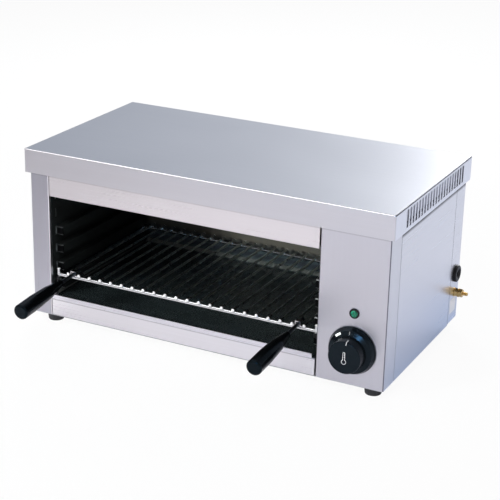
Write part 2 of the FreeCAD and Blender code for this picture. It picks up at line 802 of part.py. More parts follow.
def build_cavity():
    build_side_liner("liner_left", opening_left, 1, body_front + s.post_inner_return, [])
    clear_hole = s.element_radius + s.element_hole_gap
    right_holes = cold_end_holes("liner_element_hole", opening_right, s.liner_sheet, clear_hole)
    build_side_liner("liner_right", opening_right, -1, body_front + s.panel_inner_return, right_holes)
    keep("liner_back", block("liner_back", (opening_left, opening_right),
                             (cavity_back, cavity_back + s.liner_sheet), (base_top, cavity_top)))
    # The roof: a polished reflector with its front edge turned down behind the upper rail
    left = opening_left - s.liner_sheet
    right = opening_right + s.liner_sheet
    front = body_front + s.rail_flange + s.sheet
    plate = block("reflector_plate", (left, right), (front, cavity_back + s.liner_sheet),
                  (cavity_top, cavity_top + s.liner_sheet))
    lip = block("reflector_lip", (opening_left + s.fit_gap, opening_right - s.fit_gap),
                (front, front + s.liner_sheet), (upper_rail_bottom, cavity_top + s.liner_sheet))
    keep("heat_reflector", joined("heat_reflector", [plate, lip]))


def build_tray_runners():
    top = tray_floor - s.fit_gap
    length = cavity_back - s.tray_back_gap - shelf_bar_y
    for name, wall, direction in (("tray_runner_left", opening_left, 1), ("tray_runner_right", opening_right, -1)):
        t = s.liner_sheet * direction
        x_far = wall + s.tray_runner_width * direction
        for part, x_near, x_end, low in (("ledge", wall, x_far, top - s.liner_sheet),
                                         ("leg", wall, wall + t, top - s.tray_runner_leg)):
            span = (x_near, x_end) if direction > 0 else (x_end, x_near)
            block("%s_%s" % (name, part), span, (shelf_bar_y, shelf_bar_y + length), (low, top))
        keep(name, joined(name, [doc.getObject(name + "_ledge"), doc.getObject(name + "_leg")]))


# Three sheathed heating elements: each runs to and fro four times under the reflector
def build_elements():
    rows = element_rows()
    ring = element_pitch / 2
    left = opening_left + s.element_left_gap
    right = opening_right - s.element_right_gap
    far = shield_right + s.element_cold_end
    insulators = []
    studs = []
    count = how_many(s.element_runs)
    for element, node in enumerate(("heating_element_front", "heating_element_middle", "heating_element_rear")):
        runs = rows[element * count:(element + 1) * count]
        solids = []
        for number, y in enumerate(runs):
            is_cold = number in (0, count - 1)
            end = far if is_cold else right
            solids.append(rod("%s_run%d" % (node, number), s.element_radius, end - left, (left, y, element_z), RIGHT))
        for number in range(count - 1):
            x, turn = (right, -90) if number % 2 else (left, 90)
            at = (x, runs[number] + ring, element_z)
            solids.append(half_ring("%s_bend%d" % (node, number), ring, s.element_radius, at, turn))
        keep(node, joined(node, solids))
    for number, y in enumerate(cold_end_rows()):
        insulators.append(rod("insulator%d" % number, s.insulator_radius, s.insulator_length,
                              (far, y, element_z), RIGHT))
        studs.append(rod("element_stud%d" % number, s.stud_radius, s.stud_length,
                         (far + s.insulator_length, y, element_z), RIGHT))
    keep("element_insulators", group("element_insulators", insulators))
    keep("element_studs", group("element_studs", studs))

    brackets = []
    front = rows[0] - s.bracket_end
    back = rows[-1] + s.bracket_end
    places = (opening_left + s.bracket_left_gap, opening_right - s.bracket_right_gap)
    for number, x in enumerate(places):
        low = element_z - s.element_radius - s.bracket_below
        web = block("bracket_web%d" % number, (x, x + s.bracket_sheet), (front, back), (low, cavity_top))
        foot = block("bracket_foot%d" % number, (x, x + s.bracket_flange), (front, back),
                     (cavity_top - s.bracket_sheet, cavity_top))
        strap = joined("bracket_strap%d" % number, [web, foot])
        start = x - s.overrun / 2
        holes = [rod("bracket%d_hole%d" % (number, row), s.element_radius + s.fit_gap, s.bracket_sheet + s.overrun,
                     (start, y, element_z), RIGHT) for row, y in enumerate(rows)]
        brackets.append(cut("bracket%d" % number, strap, holes))
    keep("element_brackets", group("element_brackets", brackets))


def build_insulation():
    gap = s.insulation_gap
    roof_low = cavity_top + s.liner_sheet
    front = body_front + s.rail_flange + gap
    keep("roof_insulation", block("roof_insulation", (opening_left, opening_right), (front, cavity_back),
                                  (roof_low, roof_low + s.roof_insulation_height)))
    rear = cavity_back + s.liner_sheet
    low = base_top + gap
    keep("rear_insulation", block("rear_insulation", (opening_left, opening_right),
                                  (rear, rear + s.rear_insulation_depth), (low + s.base_upturn, cavity_top)))
    keep("left_insulation", block("left_insulation", (body_left + s.sheet * 2, opening_left - s.liner_sheet),
                                  (body_front + s.side_return, cavity_back), (low + s.base_upturn, cavity_top)))
    right = opening_right + s.liner_sheet
    solid = block("right_insulation_block", (right, shield_left), (body_front + s.panel_inner_return, cavity_back),
                  (low, cavity_top))
    holes = cold_end_holes("insulation_hole", right, s.right_insulation_width, s.element_radius + s.element_hole_gap)
    keep("right_insulation", cut("right_insulation", solid, holes))
    wall = block("shield_wall", (shield_left, shield_right), (panel_inside + gap, back_inside - gap),
                 (base_top, cavity_top + s.liner_sheet))
    foot = block("shield_foot", (shield_left, shield_left + s.panel_flange),
                 (panel_inside + gap, back_inside - s.sheet - gap), (base_top, base_top + s.liner_sheet))
    shield = joined("shield_sheet", [wall, foot])
    holes = cold_end_holes("shield_hole", shield_left, s.liner_sheet, s.element_radius + s.element_hole_gap)
    keep("compartment_shield", cut("compartment_shield", shield, holes))


# The shelf: a grille of long wires on two cross bars, over two side rails that ride on the runners
def build_shelf():
    bar_length = shelf_right - shelf_left
    rear_bar_y = shelf_back - s.rear_bar_inset
    r = s.frame_radius
    solids = [rod("front_bar", r, bar_length, (shelf_left, shelf_bar_y, shelf_bar_z), RIGHT),
              rod("rear_bar", r, bar_length, (shelf_left, rear_bar_y, shelf_bar_z), RIGHT)]
    wire_front = shelf_bar_y - r
    for side, x in (("left", shelf_left), ("right", shelf_right)):
        solids.append(rod(side + "_rail", s.side_rail_radius, rear_bar_y + r - wire_front,
                          (x, wire_front, side_rail_z), BACKWARD))
        solids.append(rod(side + "_stub", r, s.stub_height, (x, shelf_bar_y, shelf_bar_z)))
        for end, y in (("front", shelf_bar_y), ("rear", rear_bar_y)):
            ball = doc.addObject("Part::Sphere", "%s_%s_corner" % (side, end))
            bind(ball, Radius=r)
            solids.append(place(ball, (x, y, shelf_bar_z)))
    for number in range(how_many(s.wire_count)):
        x = shelf_left + wire_pitch * (number + 1)
        solids.append(rod("wire%d" % number, s.wire_radius, shelf_back - wire_front, (x, wire_front, shelf_wire_z),
                          BACKWARD))
    keep("shelf_grid", joined("shelf_grid", solids))


def build_handles():
    r = s.shank_radius
    bore = r + s.spindle_gap
    tilt = FreeCAD.Rotation(FreeCAD.Vector(1, 0, 0), 90 + s.handle_droop.number)
    root_z = shelf_bar_z + s.frame_radius + r + s.handle_gap
    saddles = []
    for side, direction in (("left", -1), ("right", 1)):
        x = opening_middle + handle_offset * direction
        at = (x, shelf_bar_y, root_z)
        reach = s.grip_start + s.shank_bite
        shank = [(ZERO, -s.shank_tail), (r, -s.shank_tail), (r, reach), (ZERO, reach)]
        keep("handle_shank_" + side, turned("handle_shank_" + side, shank, at, tilt))
        start = s.grip_start
        end = start + s.grip_length
        bottom = reach + s.fit_gap
        grip = [(bore, start), (s.grip_neck_radius, start), (s.grip_neck_radius + s.fit_gap, start + s.grip_neck_length),
                (s.grip_shoulder_radius, start + s.grip_shoulder_at), (s.grip_radius, start + s.grip_full_at),
                (s.grip_radius, end), (ZERO, end), (ZERO, bottom), (bore, bottom)]
        rounds = [(s.grip_shoulder_radius, start + s.grip_shoulder_at, s.grip_blend),
                  (s.grip_radius, end, s.grip_end_round)]
        keep("handle_grip_" + side, turned("handle_grip_" + side, grip, at, tilt, rounds))

        t = s.saddle_sheet
        foot = wire_pitch / 2 - s.wire_radius - s.saddle_wire_gap
        leg = r + s.saddle_side_gap
        low = shelf_bar_z + s.frame_radius + s.saddle_seat_gap
        high = root_z + r + s.saddle_top_gap
        right_half = [(foot, low), (foot, low + t), (leg + t, low + t), (leg + t, high + t)]
        inner_half = [(leg, high), (leg, low)]
        section = [(x + u, v) for u, v in right_half]
        section += [(x - u, v) for u, v in reversed(right_half)]
        section += [(x - leg, low), (x - leg, high)]
        section += [(x + u, v) for u, v in inner_half]
        body = doc.addObject("PartDesign::Body", "saddle_" + side)
        sketch = sketch_on(body, "saddle_section_" + side, "XZ_Plane", -(shelf_bar_y - s.saddle_width / 2))
        outline(sketch, section)
        swept(body, "PartDesign::Pad", "saddle_strip_" + side, sketch, s.saddle_width, backwards=True)
        saddles.append(body)
    keep("handle_saddles", group("handle_saddles", saddles))


# The crumb tray slides on its runners over the lower rail and shows only its leaning lip
def build_tray():
    t = s.tray_sheet
    front = body_front - s.lip_reach + s.lip_sheet
    back = cavity_back - s.tray_back_gap
    top = tray_floor + s.tray_height
    wall_front = body_front + s.rail_flange
    floor = block("tray_bottom", (tray_left, tray_right), (front, back), (tray_floor, tray_floor + t))
    walls = [block("tray_left_wall", (tray_left, tray_left + t), (wall_front, back), (tray_floor, top)),
             block("tray_right_wall", (tray_right - t, tray_right), (wall_front, back), (tray_floor, top)),
             block("tray_back_wall", (tray_left, tray_right), (back - t, back), (tray_floor, top)),
             block("tray_front_wall", (tray_left, tray_right), (front, front + t),
                   (tray_floor, tray_floor + s.lip_height / 2))]
    keep("crumb_tray", joined("crumb_tray", [floor] + walls))
    outer = body_front - s.lip_reach
    lean = s.lip_lean
    section = [(outer, tray_floor), (outer + s.lip_sheet, tray_floor),
               (outer + s.lip_sheet - lean, tray_floor + s.lip_height), (outer - lean, tray_floor + s.lip_height)]
    keep("tray_lip", folded("tray_lip", "YZ_Plane", section, tray_left, tray_right - tray_left))


# The knob, its spindle and the thermostat behind the panel
def build_knob():
    wall = s.knob_wall
    bore = s.spindle_radius + s.spindle_gap
    edge = s.skirt_gap
    root = edge + s.skirt_rise
    boss_low = s.bush_length + s.skirt_gap
    top = edge + s.hub_rise
    bore_top = s.spindle_reach + s.skirt_gap
    crease = edge + s.skirt_crease_rise
    profile = [(ZERO, bore_top), (bore, bore_top), (bore, boss_low), (s.knob_boss_radius, boss_low),
               (s.knob_boss_radius, top - wall * 2), (s.hub_radius - wall, top - wall * 2),
               (s.hub_base_radius - wall, root - wall), (s.skirt_crease_radius - wall, crease - wall),
               (s.skirt_radius - wall, edge), (s.skirt_radius, edge), (s.skirt_crease_radius, crease),
               (s.hub_base_radius, root), (s.hub_radius, top), (ZERO, top)]
    at = (knob_x, body_front, knob_z)
    keep("control_knob", turned("control_knob", profile, at, FORWARD,
                                [(s.skirt_crease_radius, crease, s.skirt_crease_round),
                                 (s.hub_radius, top, s.hub_round)]))

    r = s.spindle_radius
    shaft = rod("spindle_rod", r, s.spindle_reach + s.sheet + s.spindle_root,
                (knob_x, panel_inside + s.spindle_root, knob_z), FORWARD)
    keep("thermostat_spindle", shaft)

    width = middle(knob_x, s.thermostat_width)
    height = middle(knob_z, s.thermostat_height)
    back = panel_inside + s.thermostat_depth
    box = block("thermostat_box", width, (panel_inside, back), height)
    bush = rod("thermostat_bush", s.bush_radius, s.bush_length + s.sheet, (knob_x, panel_inside, knob_z), FORWARD)
    hollow = rod("thermostat_bore", bore, s.bush_length + s.sheet + s.spindle_root + s.overrun,
                 (knob_x, panel_inside + s.spindle_root + s.overrun / 2, knob_z), FORWARD)
    tools = [hollow]
    screws = []
    for side in (-1, 1):
        x = knob_x + s.fixing_spacing / 2 * side
        tools.append(rod("thermostat_thread%d" % side, s.screw_radius, s.screw_length,
                         (x, panel_inside + s.screw_length, knob_z), FORWARD))
        screws.append(pan_screw("thermostat_screw%d" % side, (x, body_front, knob_z), FORWARD))
    keep("thermostat_body", cut("thermostat_body", joined("thermostat_case", [box, bush]), tools))
    keep("thermostat_screws", group("thermostat_screws", screws))

    tabs = []
    for number in (-1, 0, 1):
        x_span = middle(knob_x + s.tab_spacing * number, s.tab_sheet)
        tabs.append(block("thermostat_tab%d" % number, x_span, (back, back + s.tab_length),
                          middle(knob_z, s.tab_width)))
    keep("thermostat_tabs", group("thermostat_tabs", tabs))


def build_lamp():
    at = (lamp_x, body_front, lamp_z)
    tail = -s.sheet - s.barrel_length
    inner = s.lens_radius + s.thread_gap
    step = s.neon_radius + s.fit_gap
    floor = tail + s.bezel_flange
    bezel = [(step, tail), (s.barrel_radius, tail), (s.barrel_radius, ZERO), (s.bezel_radius, ZERO),
             (s.bezel_radius, s.bezel_flange), (inner, s.bezel_flange), (inner, floor), (step, floor)]
    keep("pilot_lamp_bezel", turned("pilot_lamp_bezel", bezel, at, FORWARD,
                                    [(s.bezel_radius, s.bezel_flange, s.bezel_flange / 3)]))
    lens_top = s.bezel_flange + s.lens_rise
    lens_low = -s.bezel_flange * 2
    lens = [(ZERO, lens_low), (s.lens_radius, lens_low), (s.lens_radius, s.bezel_flange),
            (s.lens_radius * 3 / 4, lens_top - s.lens_rise / 4), (ZERO, lens_top)]
    keep("pilot_lamp_lens", turned("pilot_lamp_lens", lens, at, FORWARD))
    neon_top = lens_low - s.fit_gap
    neon_low = tail - s.fit_gap
    neon = [(ZERO, neon_low), (s.neon_radius, neon_low), (s.neon_radius, neon_top - s.neon_radius / 2),
            (s.neon_radius / 2, neon_top), (ZERO, neon_top)]
    keep("pilot_lamp_neon", turned("pilot_lamp_neon", neon, at, FORWARD))
    nut_top = -s.sheet
    nut_low = nut_top - s.lamp_nut_height
    hole = s.barrel_radius + s.thread_gap
    nut = [(hole, nut_low), (s.lamp_nut_radius, nut_low), (s.lamp_nut_radius, nut_top), (hole, nut_top)]
    keep("pilot_lamp_nut", turned("pilot_lamp_nut", nut, at, FORWARD))


# The mains cable bush, open and empty, and under it the brass bonding terminal
def build_entries():
    inside = body_right - s.sheet
    clear = s.thread_gap
    thread = s.bush_thread_radius
    tail = -s.sheet - s.bush_tail
    bush = [(s.cable_bore, tail), (thread, tail), (thread, ZERO), (s.bush_flange_radius, ZERO),
            (s.bush_flange_radius, s.bush_flange), (s.cable_mouth_radius, s.bush_flange),
            (s.cable_bore, s.bush_flange - s.bush_flange_round)]
    keep("cable_bush", turned("cable_bush", bush, (body_right, entry_y, bush_z), RIGHT,
                              [(s.bush_flange_radius, s.bush_flange, s.bush_flange_round)]))
    ring = hexagon("locknut_flats", s.locknut_hex, s.locknut_height, (inside - s.locknut_height, entry_y, bush_z),
                   RIGHT)
    hole = rod("locknut_hole", thread + clear, s.locknut_height + s.overrun,
               (inside - s.locknut_height - s.overrun / 2, entry_y, bush_z), RIGHT)
    keep("cable_bush_locknut", cut("cable_bush_locknut", ring, [hole]))

    stud_start = inside - s.bonding_tail
    keep("bonding_stud", rod("bonding_stud", s.bonding_radius, s.bonding_tail + s.sheet + s.bonding_reach,
                             (stud_start, entry_y, bonding_z), RIGHT))
    nut_height = s.bonding_nut_height
    washer = s.washer_height
    nut_places = {"inner": inside - nut_height, "outer": body_right + washer,
                  "clamp": body_right + washer * 2 + nut_height}
    washer_places = {"panel": body_right, "lug": body_right + washer + nut_height}
    nuts = []
    washers = []
    for name, x in nut_places.items():
        solid = hexagon("bonding_flats_" + name, s.bonding_hex, nut_height, (x, entry_y, bonding_z), RIGHT)
        hole = rod("bonding_bore_" + name, s.bonding_radius + clear, nut_height + s.overrun,
                   (x - s.overrun / 2, entry_y, bonding_z), RIGHT)
        nuts.append(cut("bonding_nut_" + name, solid, [hole]))
    for name, x in washer_places.items():
        solid = rod("bonding_disc_" + name, s.washer_radius, washer, (x, entry_y, bonding_z), RIGHT)
        hole = rod("bonding_eye_" + name, s.bonding_radius + clear, washer + s.overrun,
                   (x - s.overrun / 2, entry_y, bonding_z), RIGHT)
        washers.append(cut("bonding_washer_" + name, solid, [hole]))
    keep("bonding_nuts", group("bonding_nuts", nuts))
    keep("bonding_washers", group("bonding_washers", washers))


def build_terminal_block():
    right = body_right - s.block_from_side
    back = body_back - s.block_from_back
    x_span = (right - s.block_length, right)
    y_span = (back - s.block_depth, back)
    solid = block("terminal_body", x_span, y_span, (base_top, base_top + s.block_height))
    tools = []
    for number in (-1, 0, 1):
        x = right - s.block_length / 2 + s.block_pole_pitch * number
        tools.append(rod("terminal_well%d" % number, s.block_hole_radius, s.block_height / 2 + s.overrun,
                         (x, back - s.block_depth / 2, base_top + s.block_height / 2)))
    keep("terminal_block", cut("terminal_block", solid, tools))


# Rubber feet with a deep counterbore, their screws, and the nuts on top of the base
def build_feet():
    hole = s.screw_radius + s.thread_gap
    deep = s.foot_counterbore_depth
    top = s.foot_height
    profile = [(hole, deep), (s.foot_counterbore, deep), (s.foot_counterbore, ZERO), (s.foot_base_radius, ZERO),
               (s.foot_top_radius, top - s.foot_straight), (s.foot_top_radius, top), (hole, top)]
    screws = []
    nuts = []
    for corner, (x, y) in foot_places().items():
        node = "foot_" + corner
        keep(node, turned(node, profile, (x, y, ZERO), UP, [(s.foot_base_radius, ZERO, s.foot_round)]))
        length = top - deep + s.sheet + s.nut_height + s.fit_gap
        screws.append(pan_screw("foot_screw_" + corner, (x, y, deep), DOWN, length))
        solid = hexagon("foot_nut_flats_" + corner, s.nut_hex, s.nut_height, (x, y, base_top))
        bore = rod("foot_nut_bore_" + corner, hole, s.nut_height + s.overrun, (x, y, base_top - s.overrun / 2))
        nuts.append(cut("foot_nut_" + corner, solid, [bore]))
    keep("foot_screws", group("foot_screws", screws))
    keep("foot_nuts", group("foot_nuts", nuts))


def check_and_export():
    doc.recompute()
    faults = []
    for thing in doc.Objects:
        if "Invalid" in thing.State or "Error" in thing.State:
            faults.append("%s is %s" % (thing.Label, ", ".join(thing.State)))
    for node, thing in nodes.items():
        if thing.Label != node:
            faults.append("%s is labelled %s" % (node, thing.Label))
        if thing.Shape.isNull() or not thing.Shape.isValid():
            faults.append("%s has no valid shape" % node)
    if faults:
        raise SystemExit("\n".join(faults))
    os.makedirs("parts", exist_ok=True)
    for node, thing in nodes.items():
        thing.Shape.exportStep("parts/%s.step" % node)
        box = thing.Shape.BoundBox
        print("%-24s %2d solids %9.0f mm3  x %6.1f %6.1f  y %6.1f %6.1f  z %6.1f %6.1f"
              % (node, len(thing.Shape.Solids), thing.Shape.Volume, box.XMin, box.XMax, box.YMin, box.YMax,
                 box.ZMin, box.ZMax))
    print(len(nodes), "nodes")


build_lid_and_its_screws()
build_vent_baffles()
build_uprights()
build_rails()
build_side_panels()
build_back_panel()
build_base()
build_cavity()
build_tray_runners()
build_elements()
build_insulation()
build_shelf()
build_handles()
build_tray()
build_knob()
build_lamp()
build_entries()
build_terminal_block()
build_feet()
check_and_export()
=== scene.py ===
# %% [markdown]
# # Dressing an open-front cheese melter
#
# The object is a countertop grill for melting cheese. It is a box of folded stainless steel with
# a wide open cavity, heating elements under its roof, a wire shelf with two black grips, a crumb
# tray and a small control panel. Nearly all of it is sheet metal with crisp folds, so the CAD
# model already holds the right shapes. What Blender adds is the part that CAD leaves out: how
# brushed steel, black enamel, chromed wire, moulded plastic and brass take the light, and the
# small made details, such as threads, weld beads and printed marks.

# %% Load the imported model
import math

import bmesh
import bpy
from mathutils import Matrix, Vector


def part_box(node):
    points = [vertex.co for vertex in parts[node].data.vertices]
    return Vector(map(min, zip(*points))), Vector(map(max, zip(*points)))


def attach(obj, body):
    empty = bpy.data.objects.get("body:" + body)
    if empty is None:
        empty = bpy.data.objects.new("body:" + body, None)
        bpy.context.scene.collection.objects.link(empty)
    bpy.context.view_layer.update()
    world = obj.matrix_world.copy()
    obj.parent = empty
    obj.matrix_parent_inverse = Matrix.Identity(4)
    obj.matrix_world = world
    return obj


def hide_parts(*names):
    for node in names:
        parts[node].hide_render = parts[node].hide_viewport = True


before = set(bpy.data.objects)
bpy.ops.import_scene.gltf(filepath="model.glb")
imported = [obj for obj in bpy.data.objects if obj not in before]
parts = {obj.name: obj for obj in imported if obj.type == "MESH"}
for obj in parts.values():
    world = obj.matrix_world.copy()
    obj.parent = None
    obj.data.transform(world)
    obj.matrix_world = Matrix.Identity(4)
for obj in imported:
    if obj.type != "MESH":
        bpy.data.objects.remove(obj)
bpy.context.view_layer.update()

# %% [markdown]
# ## The camera
#
# The photograph was taken from the right and from above with a long lens, so the box keeps its
# edges nearly parallel. A camera can be placed by eye, but a box gives away more: its corners in
# the picture fix where the lens stood. The angles and the place below come from such a fit, and
# a little roll goes with it because the picture isn't quite level. The camera is built from three
# turns, so that each one can be read and changed alone.

# %% Place the camera
CAMERA_TURN = 26.34
CAMERA_PITCH = 20.88
CAMERA_ROLL = 1.36
CAMERA_PLACE = (0.9370, -1.8811, 0.9264)
FOCAL_LENGTH = 104.6

lens = bpy.data.cameras.new("camera")
lens.sensor_width = 36.0
lens.lens = FOCAL_LENGTH
lens.clip_start, lens.clip_end = 0.05, 60.0
camera = bpy.data.objects.new("camera", lens)
bpy.context.scene.collection.objects.link(camera)
bpy.context.scene.camera = camera
camera.matrix_world = (Matrix.Translation(CAMERA_PLACE)
                       @ Matrix.Rotation(math.radians(CAMERA_TURN), 4, "Z")
                       @ Matrix.Rotation(math.radians(90 - CAMERA_PITCH), 4, "X")
                       @ Matrix.Rotation(math.radians(CAMERA_ROLL), 4, "Z"))
print("camera to object:", round((Vector(CAMERA_PLACE) - Vector((0, 0, 0.14))).length, 2), "m")

# %% [markdown]
# ## Shader nodes as arithmetic
#
# Every finish here is made of nodes, with no pictures. Nodes can be wired by hand in the editor,
# but a script needs three or four lines for each one. So each output socket is wrapped in a small
# class that knows the usual operators. A formula then reads like arithmetic, and each operator in
# it adds one Math node. The bar gives the larger of two masks, which is "either of them". Where a
# node's input is such a value it gets linked, and a plain number or colour is set.

# %% Helpers for node trees
class Value:
    """An output socket that takes part in arithmetic."""

    def __init__(self, socket):
        self.socket, self.tree = socket, socket.id_data

    def __add__(self, other):
        return calc("ADD", self, other)

    def __sub__(self, other):
        return calc("SUBTRACT", self, other)

    def __rsub__(self, other):
        return calc("SUBTRACT", other, self)

    def __mul__(self, other):
        return calc("MULTIPLY", self, other)

    def __truediv__(self, other):
        return calc("DIVIDE", self, other)

    def __abs__(self):
        return calc("ABSOLUTE", self)

    def __lt__(self, other):
        return calc("LESS_THAN", self, other)

    def __gt__(self, other):
        return calc("GREATER_THAN", self, other)

    def __or__(self, other):
        return calc("MAXIMUM", self, other)

    def clamped(self):
        self.socket.node.use_clamp = True
        return self

    def ranged(self, low, high, to_low=0.0, to_high=1.0):
        inputs = {"Value": self, "From Min": low, "From Max": high, "To Min": to_low, "To Max": to_high}
        return result(self.tree, "ShaderNodeMapRange", inputs, "Result")


def node(tree, kind, inputs=None, **settings):
    made = tree.nodes.new(kind)
    for name, setting in settings.items():
        setattr(made, name, setting)
    for name, source in (inputs or {}).items():
        if isinstance(source, Value):
            tree.links.new(source.socket, made.inputs[name])
        else:
            made.inputs[name].default_value = source
    return made


def result(tree, kind, inputs=None, output=0, **settings):
    return Value(node(tree, kind, inputs, **settings).outputs[output])


def calc(operation, first, second=0.0):
    tree = first.tree if isinstance(first, Value) else second.tree
    return result(tree, "ShaderNodeMath", {0: first, 1: second}, operation=operation)


def scaled(vector, scale):
    return result(vector.tree, "ShaderNodeVectorMath", {0: vector, 1: scale}, operation="MULTIPLY")


def blend(share, first, second):
    pair = [colour if isinstance(colour, Value) else (*colour, 1.0) for colour in (first, second)]
    return result(share.tree, "ShaderNodeMix", {0: share, 6: pair[0], 7: pair[1]}, 2, data_type="RGBA")


def split(vector):
    return [Value(socket) for socket in node(vector.tree, "ShaderNodeSeparateXYZ", {0: vector}).outputs]


def object_place(tree):
    return result(tree, "ShaderNodeTexCoord", output="Object")


def facing(tree):
    return split(result(tree, "ShaderNodeNewGeometry", output="Normal"))


def noise(vector, scale, detail=2.0, roughness=0.5, distortion=0.0):
    inputs = {"Vector": vector, "Scale": scale, "Detail": detail, "Roughness": roughness,
              "Distortion": distortion}
    return result(vector.tree, "ShaderNodeTexNoise", inputs, "Fac")


def empty_tree(owner):
    owner.use_nodes = True
    owner.node_tree.nodes.clear()
    return owner.node_tree


def ray_kinds(tree):
    rays = node(tree, "ShaderNodeLightPath").outputs
    return [Value(rays[kind]) for kind in ("Is Camera Ray", "Is Glossy Ray", "Is Transmission Ray")]


# %% [markdown]
# ## The studio
#
# The photograph has a white ground and plain soft light. A mirror-like object shows its
# surroundings more than its own colour, so the surroundings are made first. The floor is a real
# surface that takes the shadow, with white added for the rays that come from the camera or from
# a reflection. Brightening the lamps instead would bleach the steel.
#
# What a reflection finds isn't one white, though. For reflections the floor is painted warm in front and cool
# behind, it has a painted bluish shade in a band close to the right side, which the right side mirrors low
# down, and a painted dimming far to the left, for the left end of the lid. The camera never sees these tints,
# since its own rays find plain white.

# %% Make the floor
FLOOR_SIZE = 14.0
FLOOR_SHARE_SEEN = 0.93
FLOOR_SHARE_MIRRORED = 0.25
WHITE = (1.0, 1.0, 1.0)
MATT_WHITE = (0.86, 0.86, 0.86)
WARM_WHITE = (1.0, 0.955, 0.975)
COOL_WHITE = (0.83, 0.86, 0.96)
NEAR_BLUE_SHADE = (0.50, 0.60, 0.82)
FAR_LEFT_SHARE = 0.72

floor_mesh = bpy.data.meshes.new("floor")
grid = bmesh.new()
bmesh.ops.create_grid(grid, x_segments=8, y_segments=8, size=FLOOR_SIZE / 2)
grid.to_mesh(floor_mesh)
grid.free()
floor = bpy.data.objects.new("floor", floor_mesh)
bpy.context.scene.collection.objects.link(floor)

floor_paint = bpy.data.materials.new("studio_floor")
tree = empty_tree(floor_paint)
camera_ray, glossy_ray, clear_ray = ray_kinds(tree)
x, y = split(object_place(tree))[:2]
plain = blend((y + x * 0.5).ranged(-0.4, 0.7), WARM_WHITE, COOL_WHITE)
# A painted bluish shade in a band beside the right side, seen only in reflections.
band_across = x.ranged(0.26, 0.29) * x.ranged(0.30, 0.46, 1.0, 0.0)
band_along = y.ranged(-0.17, -0.09) * y.ranged(0.25, 0.45, 1.0, 0.0)
tint = scaled(blend(band_across * band_along, plain, NEAR_BLUE_SHADE), x.ranged(-0.60, -0.28, FAR_LEFT_SHARE, 1.0))
mirrored = glossy_ray | clear_ray
share = (camera_ray * FLOOR_SHARE_SEEN + mirrored * FLOOR_SHARE_MIRRORED).clamped()
matt = result(tree, "ShaderNodeBsdfDiffuse", {"Color": blend(mirrored, MATT_WHITE, tint)})
glow = result(tree, "ShaderNodeEmission", {"Color": blend(camera_ray, tint, WHITE), "Strength": 1.0})
both = result(tree, "ShaderNodeMixShader", {0: share, 1: matt, 2: glow})
node(tree, "ShaderNodeOutputMaterial", {"Surface": both})
floor_mesh.materials.append(floor_paint)
print("floor:", FLOOR_SIZE, "m square")

# %% [markdown]
# ### The room
#
# The world stands for the walls and the ceiling. It is bright behind the object, where the lid
# looks, and falls to dusk behind it on the left, so the lid darkens towards its left end. In front
# it is warm and dims upwards, because the front sheets would otherwise mirror a glaring ceiling.
# Matt surfaces get only part of its light, which leaves the lamps their shadows.

# %% Make the world
WORLD_FILL = 0.52
DUSK = (0.26, 0.30, 0.37)
DAYLIGHT = (1.0, 1.03, 1.10)
CEILING_SHARE = 0.22
world = bpy.data.worlds.new("studio")
bpy.context.scene.world = world
tree = empty_tree(world)
camera_ray, glossy_ray, clear_ray = ray_kinds(tree)
x, y, z = split(result(tree, "ShaderNodeTexCoord", output="Generated"))
backwards = y.ranged(-0.5, 0.5)
sky = blend(backwards, WARM_WHITE, blend(x.ranged(-0.68, -0.10), DUSK, DAYLIGHT))
ceiling = z.ranged(0.02, 0.40) * (1.0 - backwards)
seen = camera_ray | clear_ray
lit = (seen | glossy_ray).ranged(0.0, 1.0, WORLD_FILL, 1.0)
dimmed = (glossy_ray * ceiling).ranged(0.0, 1.0, 1.0, CEILING_SHARE)
backdrop = result(tree, "ShaderNodeBackground", {"Color": blend(seen, sky, WHITE), "Strength": lit * dimmed})
node(tree, "ShaderNodeOutputWorld", {"Surface": backdrop})
bpy.context.scene.view_settings.view_transform = "Standard"
print("world fill for matt surfaces:", WORLD_FILL)

# %% [markdown]
# ### The lamps
#
# A lamp does two jobs that are best kept apart: it lights matt surfaces, and shiny ones mirror it.
# Two switches say which of the two it does. The key lamp does both. Three others only light, one
# of them in a narrow beam that looks into the cavity from low down. The last three are only
# mirrored: the strip behind whitens the lid's right end, the strip over the front draws the bright
# line along the folds, and the blue window gives the knob its highlight.

# %% Hang the soft lamps
def soft_lamp(name, place, aim, size, power, colour, mirrored=True, lights=True, spread=180):
    """A lamp of a size in metres and a power in watts, which shines from place to aim."""
    data = bpy.data.lights.new(name, "AREA")
    data.shape = "RECTANGLE"
    data.size, data.size_y = size
    data.energy = power
    data.color = colour
    data.spread = math.radians(spread)
    lamp = bpy.data.objects.new(name, data)
    bpy.context.scene.collection.objects.link(lamp)
    lamp.location = place
    lamp.rotation_euler = (Vector(aim) - Vector(place)).to_track_quat("-Z", "Y").to_euler()
    lamp.visible_glossy = mirrored
    lamp.visible_diffuse = lights
    lamp.visible_camera = False


soft_lamp("key_front_left", (-1.4, -2.0, 2.3), (0, 0, 0.15), (2.2, 1.6), 18, (1.0, 0.97, 0.98))
soft_lamp("low_front_left", (-1.5, -2.5, 0.82), (0.0, 0.1, 0.13), (0.7, 0.4), 2.4, (0.97, 1.0, 1.0),
          mirrored=False, spread=24)
soft_lamp("floor_front_right", (0.6, -1.3, 1.7), (0.35, -0.5, 0), (0.9, 0.6), 11, (1.0, 0.98, 0.99),
          mirrored=False)
soft_lamp("floor_behind_left", (-0.9, 1.6, 1.3), (0.5, 0.4, 0), (1.0, 0.8), 24, (0.96, 0.98, 1.0),
          mirrored=False)
soft_lamp("strip_behind_right", (0.35, 3.0, 1.5), (0.25, 0.1, 0.28), (1.6, 1.0), 62, (0.98, 0.99, 1.0),
          lights=False)
soft_lamp("strip_over_front", (-0.9, -0.95, 2.2), (0, -0.15, 0.26), (1.5, 0.22), 3.5, (1.0, 0.99, 1.0),
          lights=False)
soft_lamp("window_front", (0.22, -2.4, 0.58), (0.24, -0.17, 0.08), (0.28, 0.30), 9.5, (0.30, 0.62, 1.0),
          lights=False)

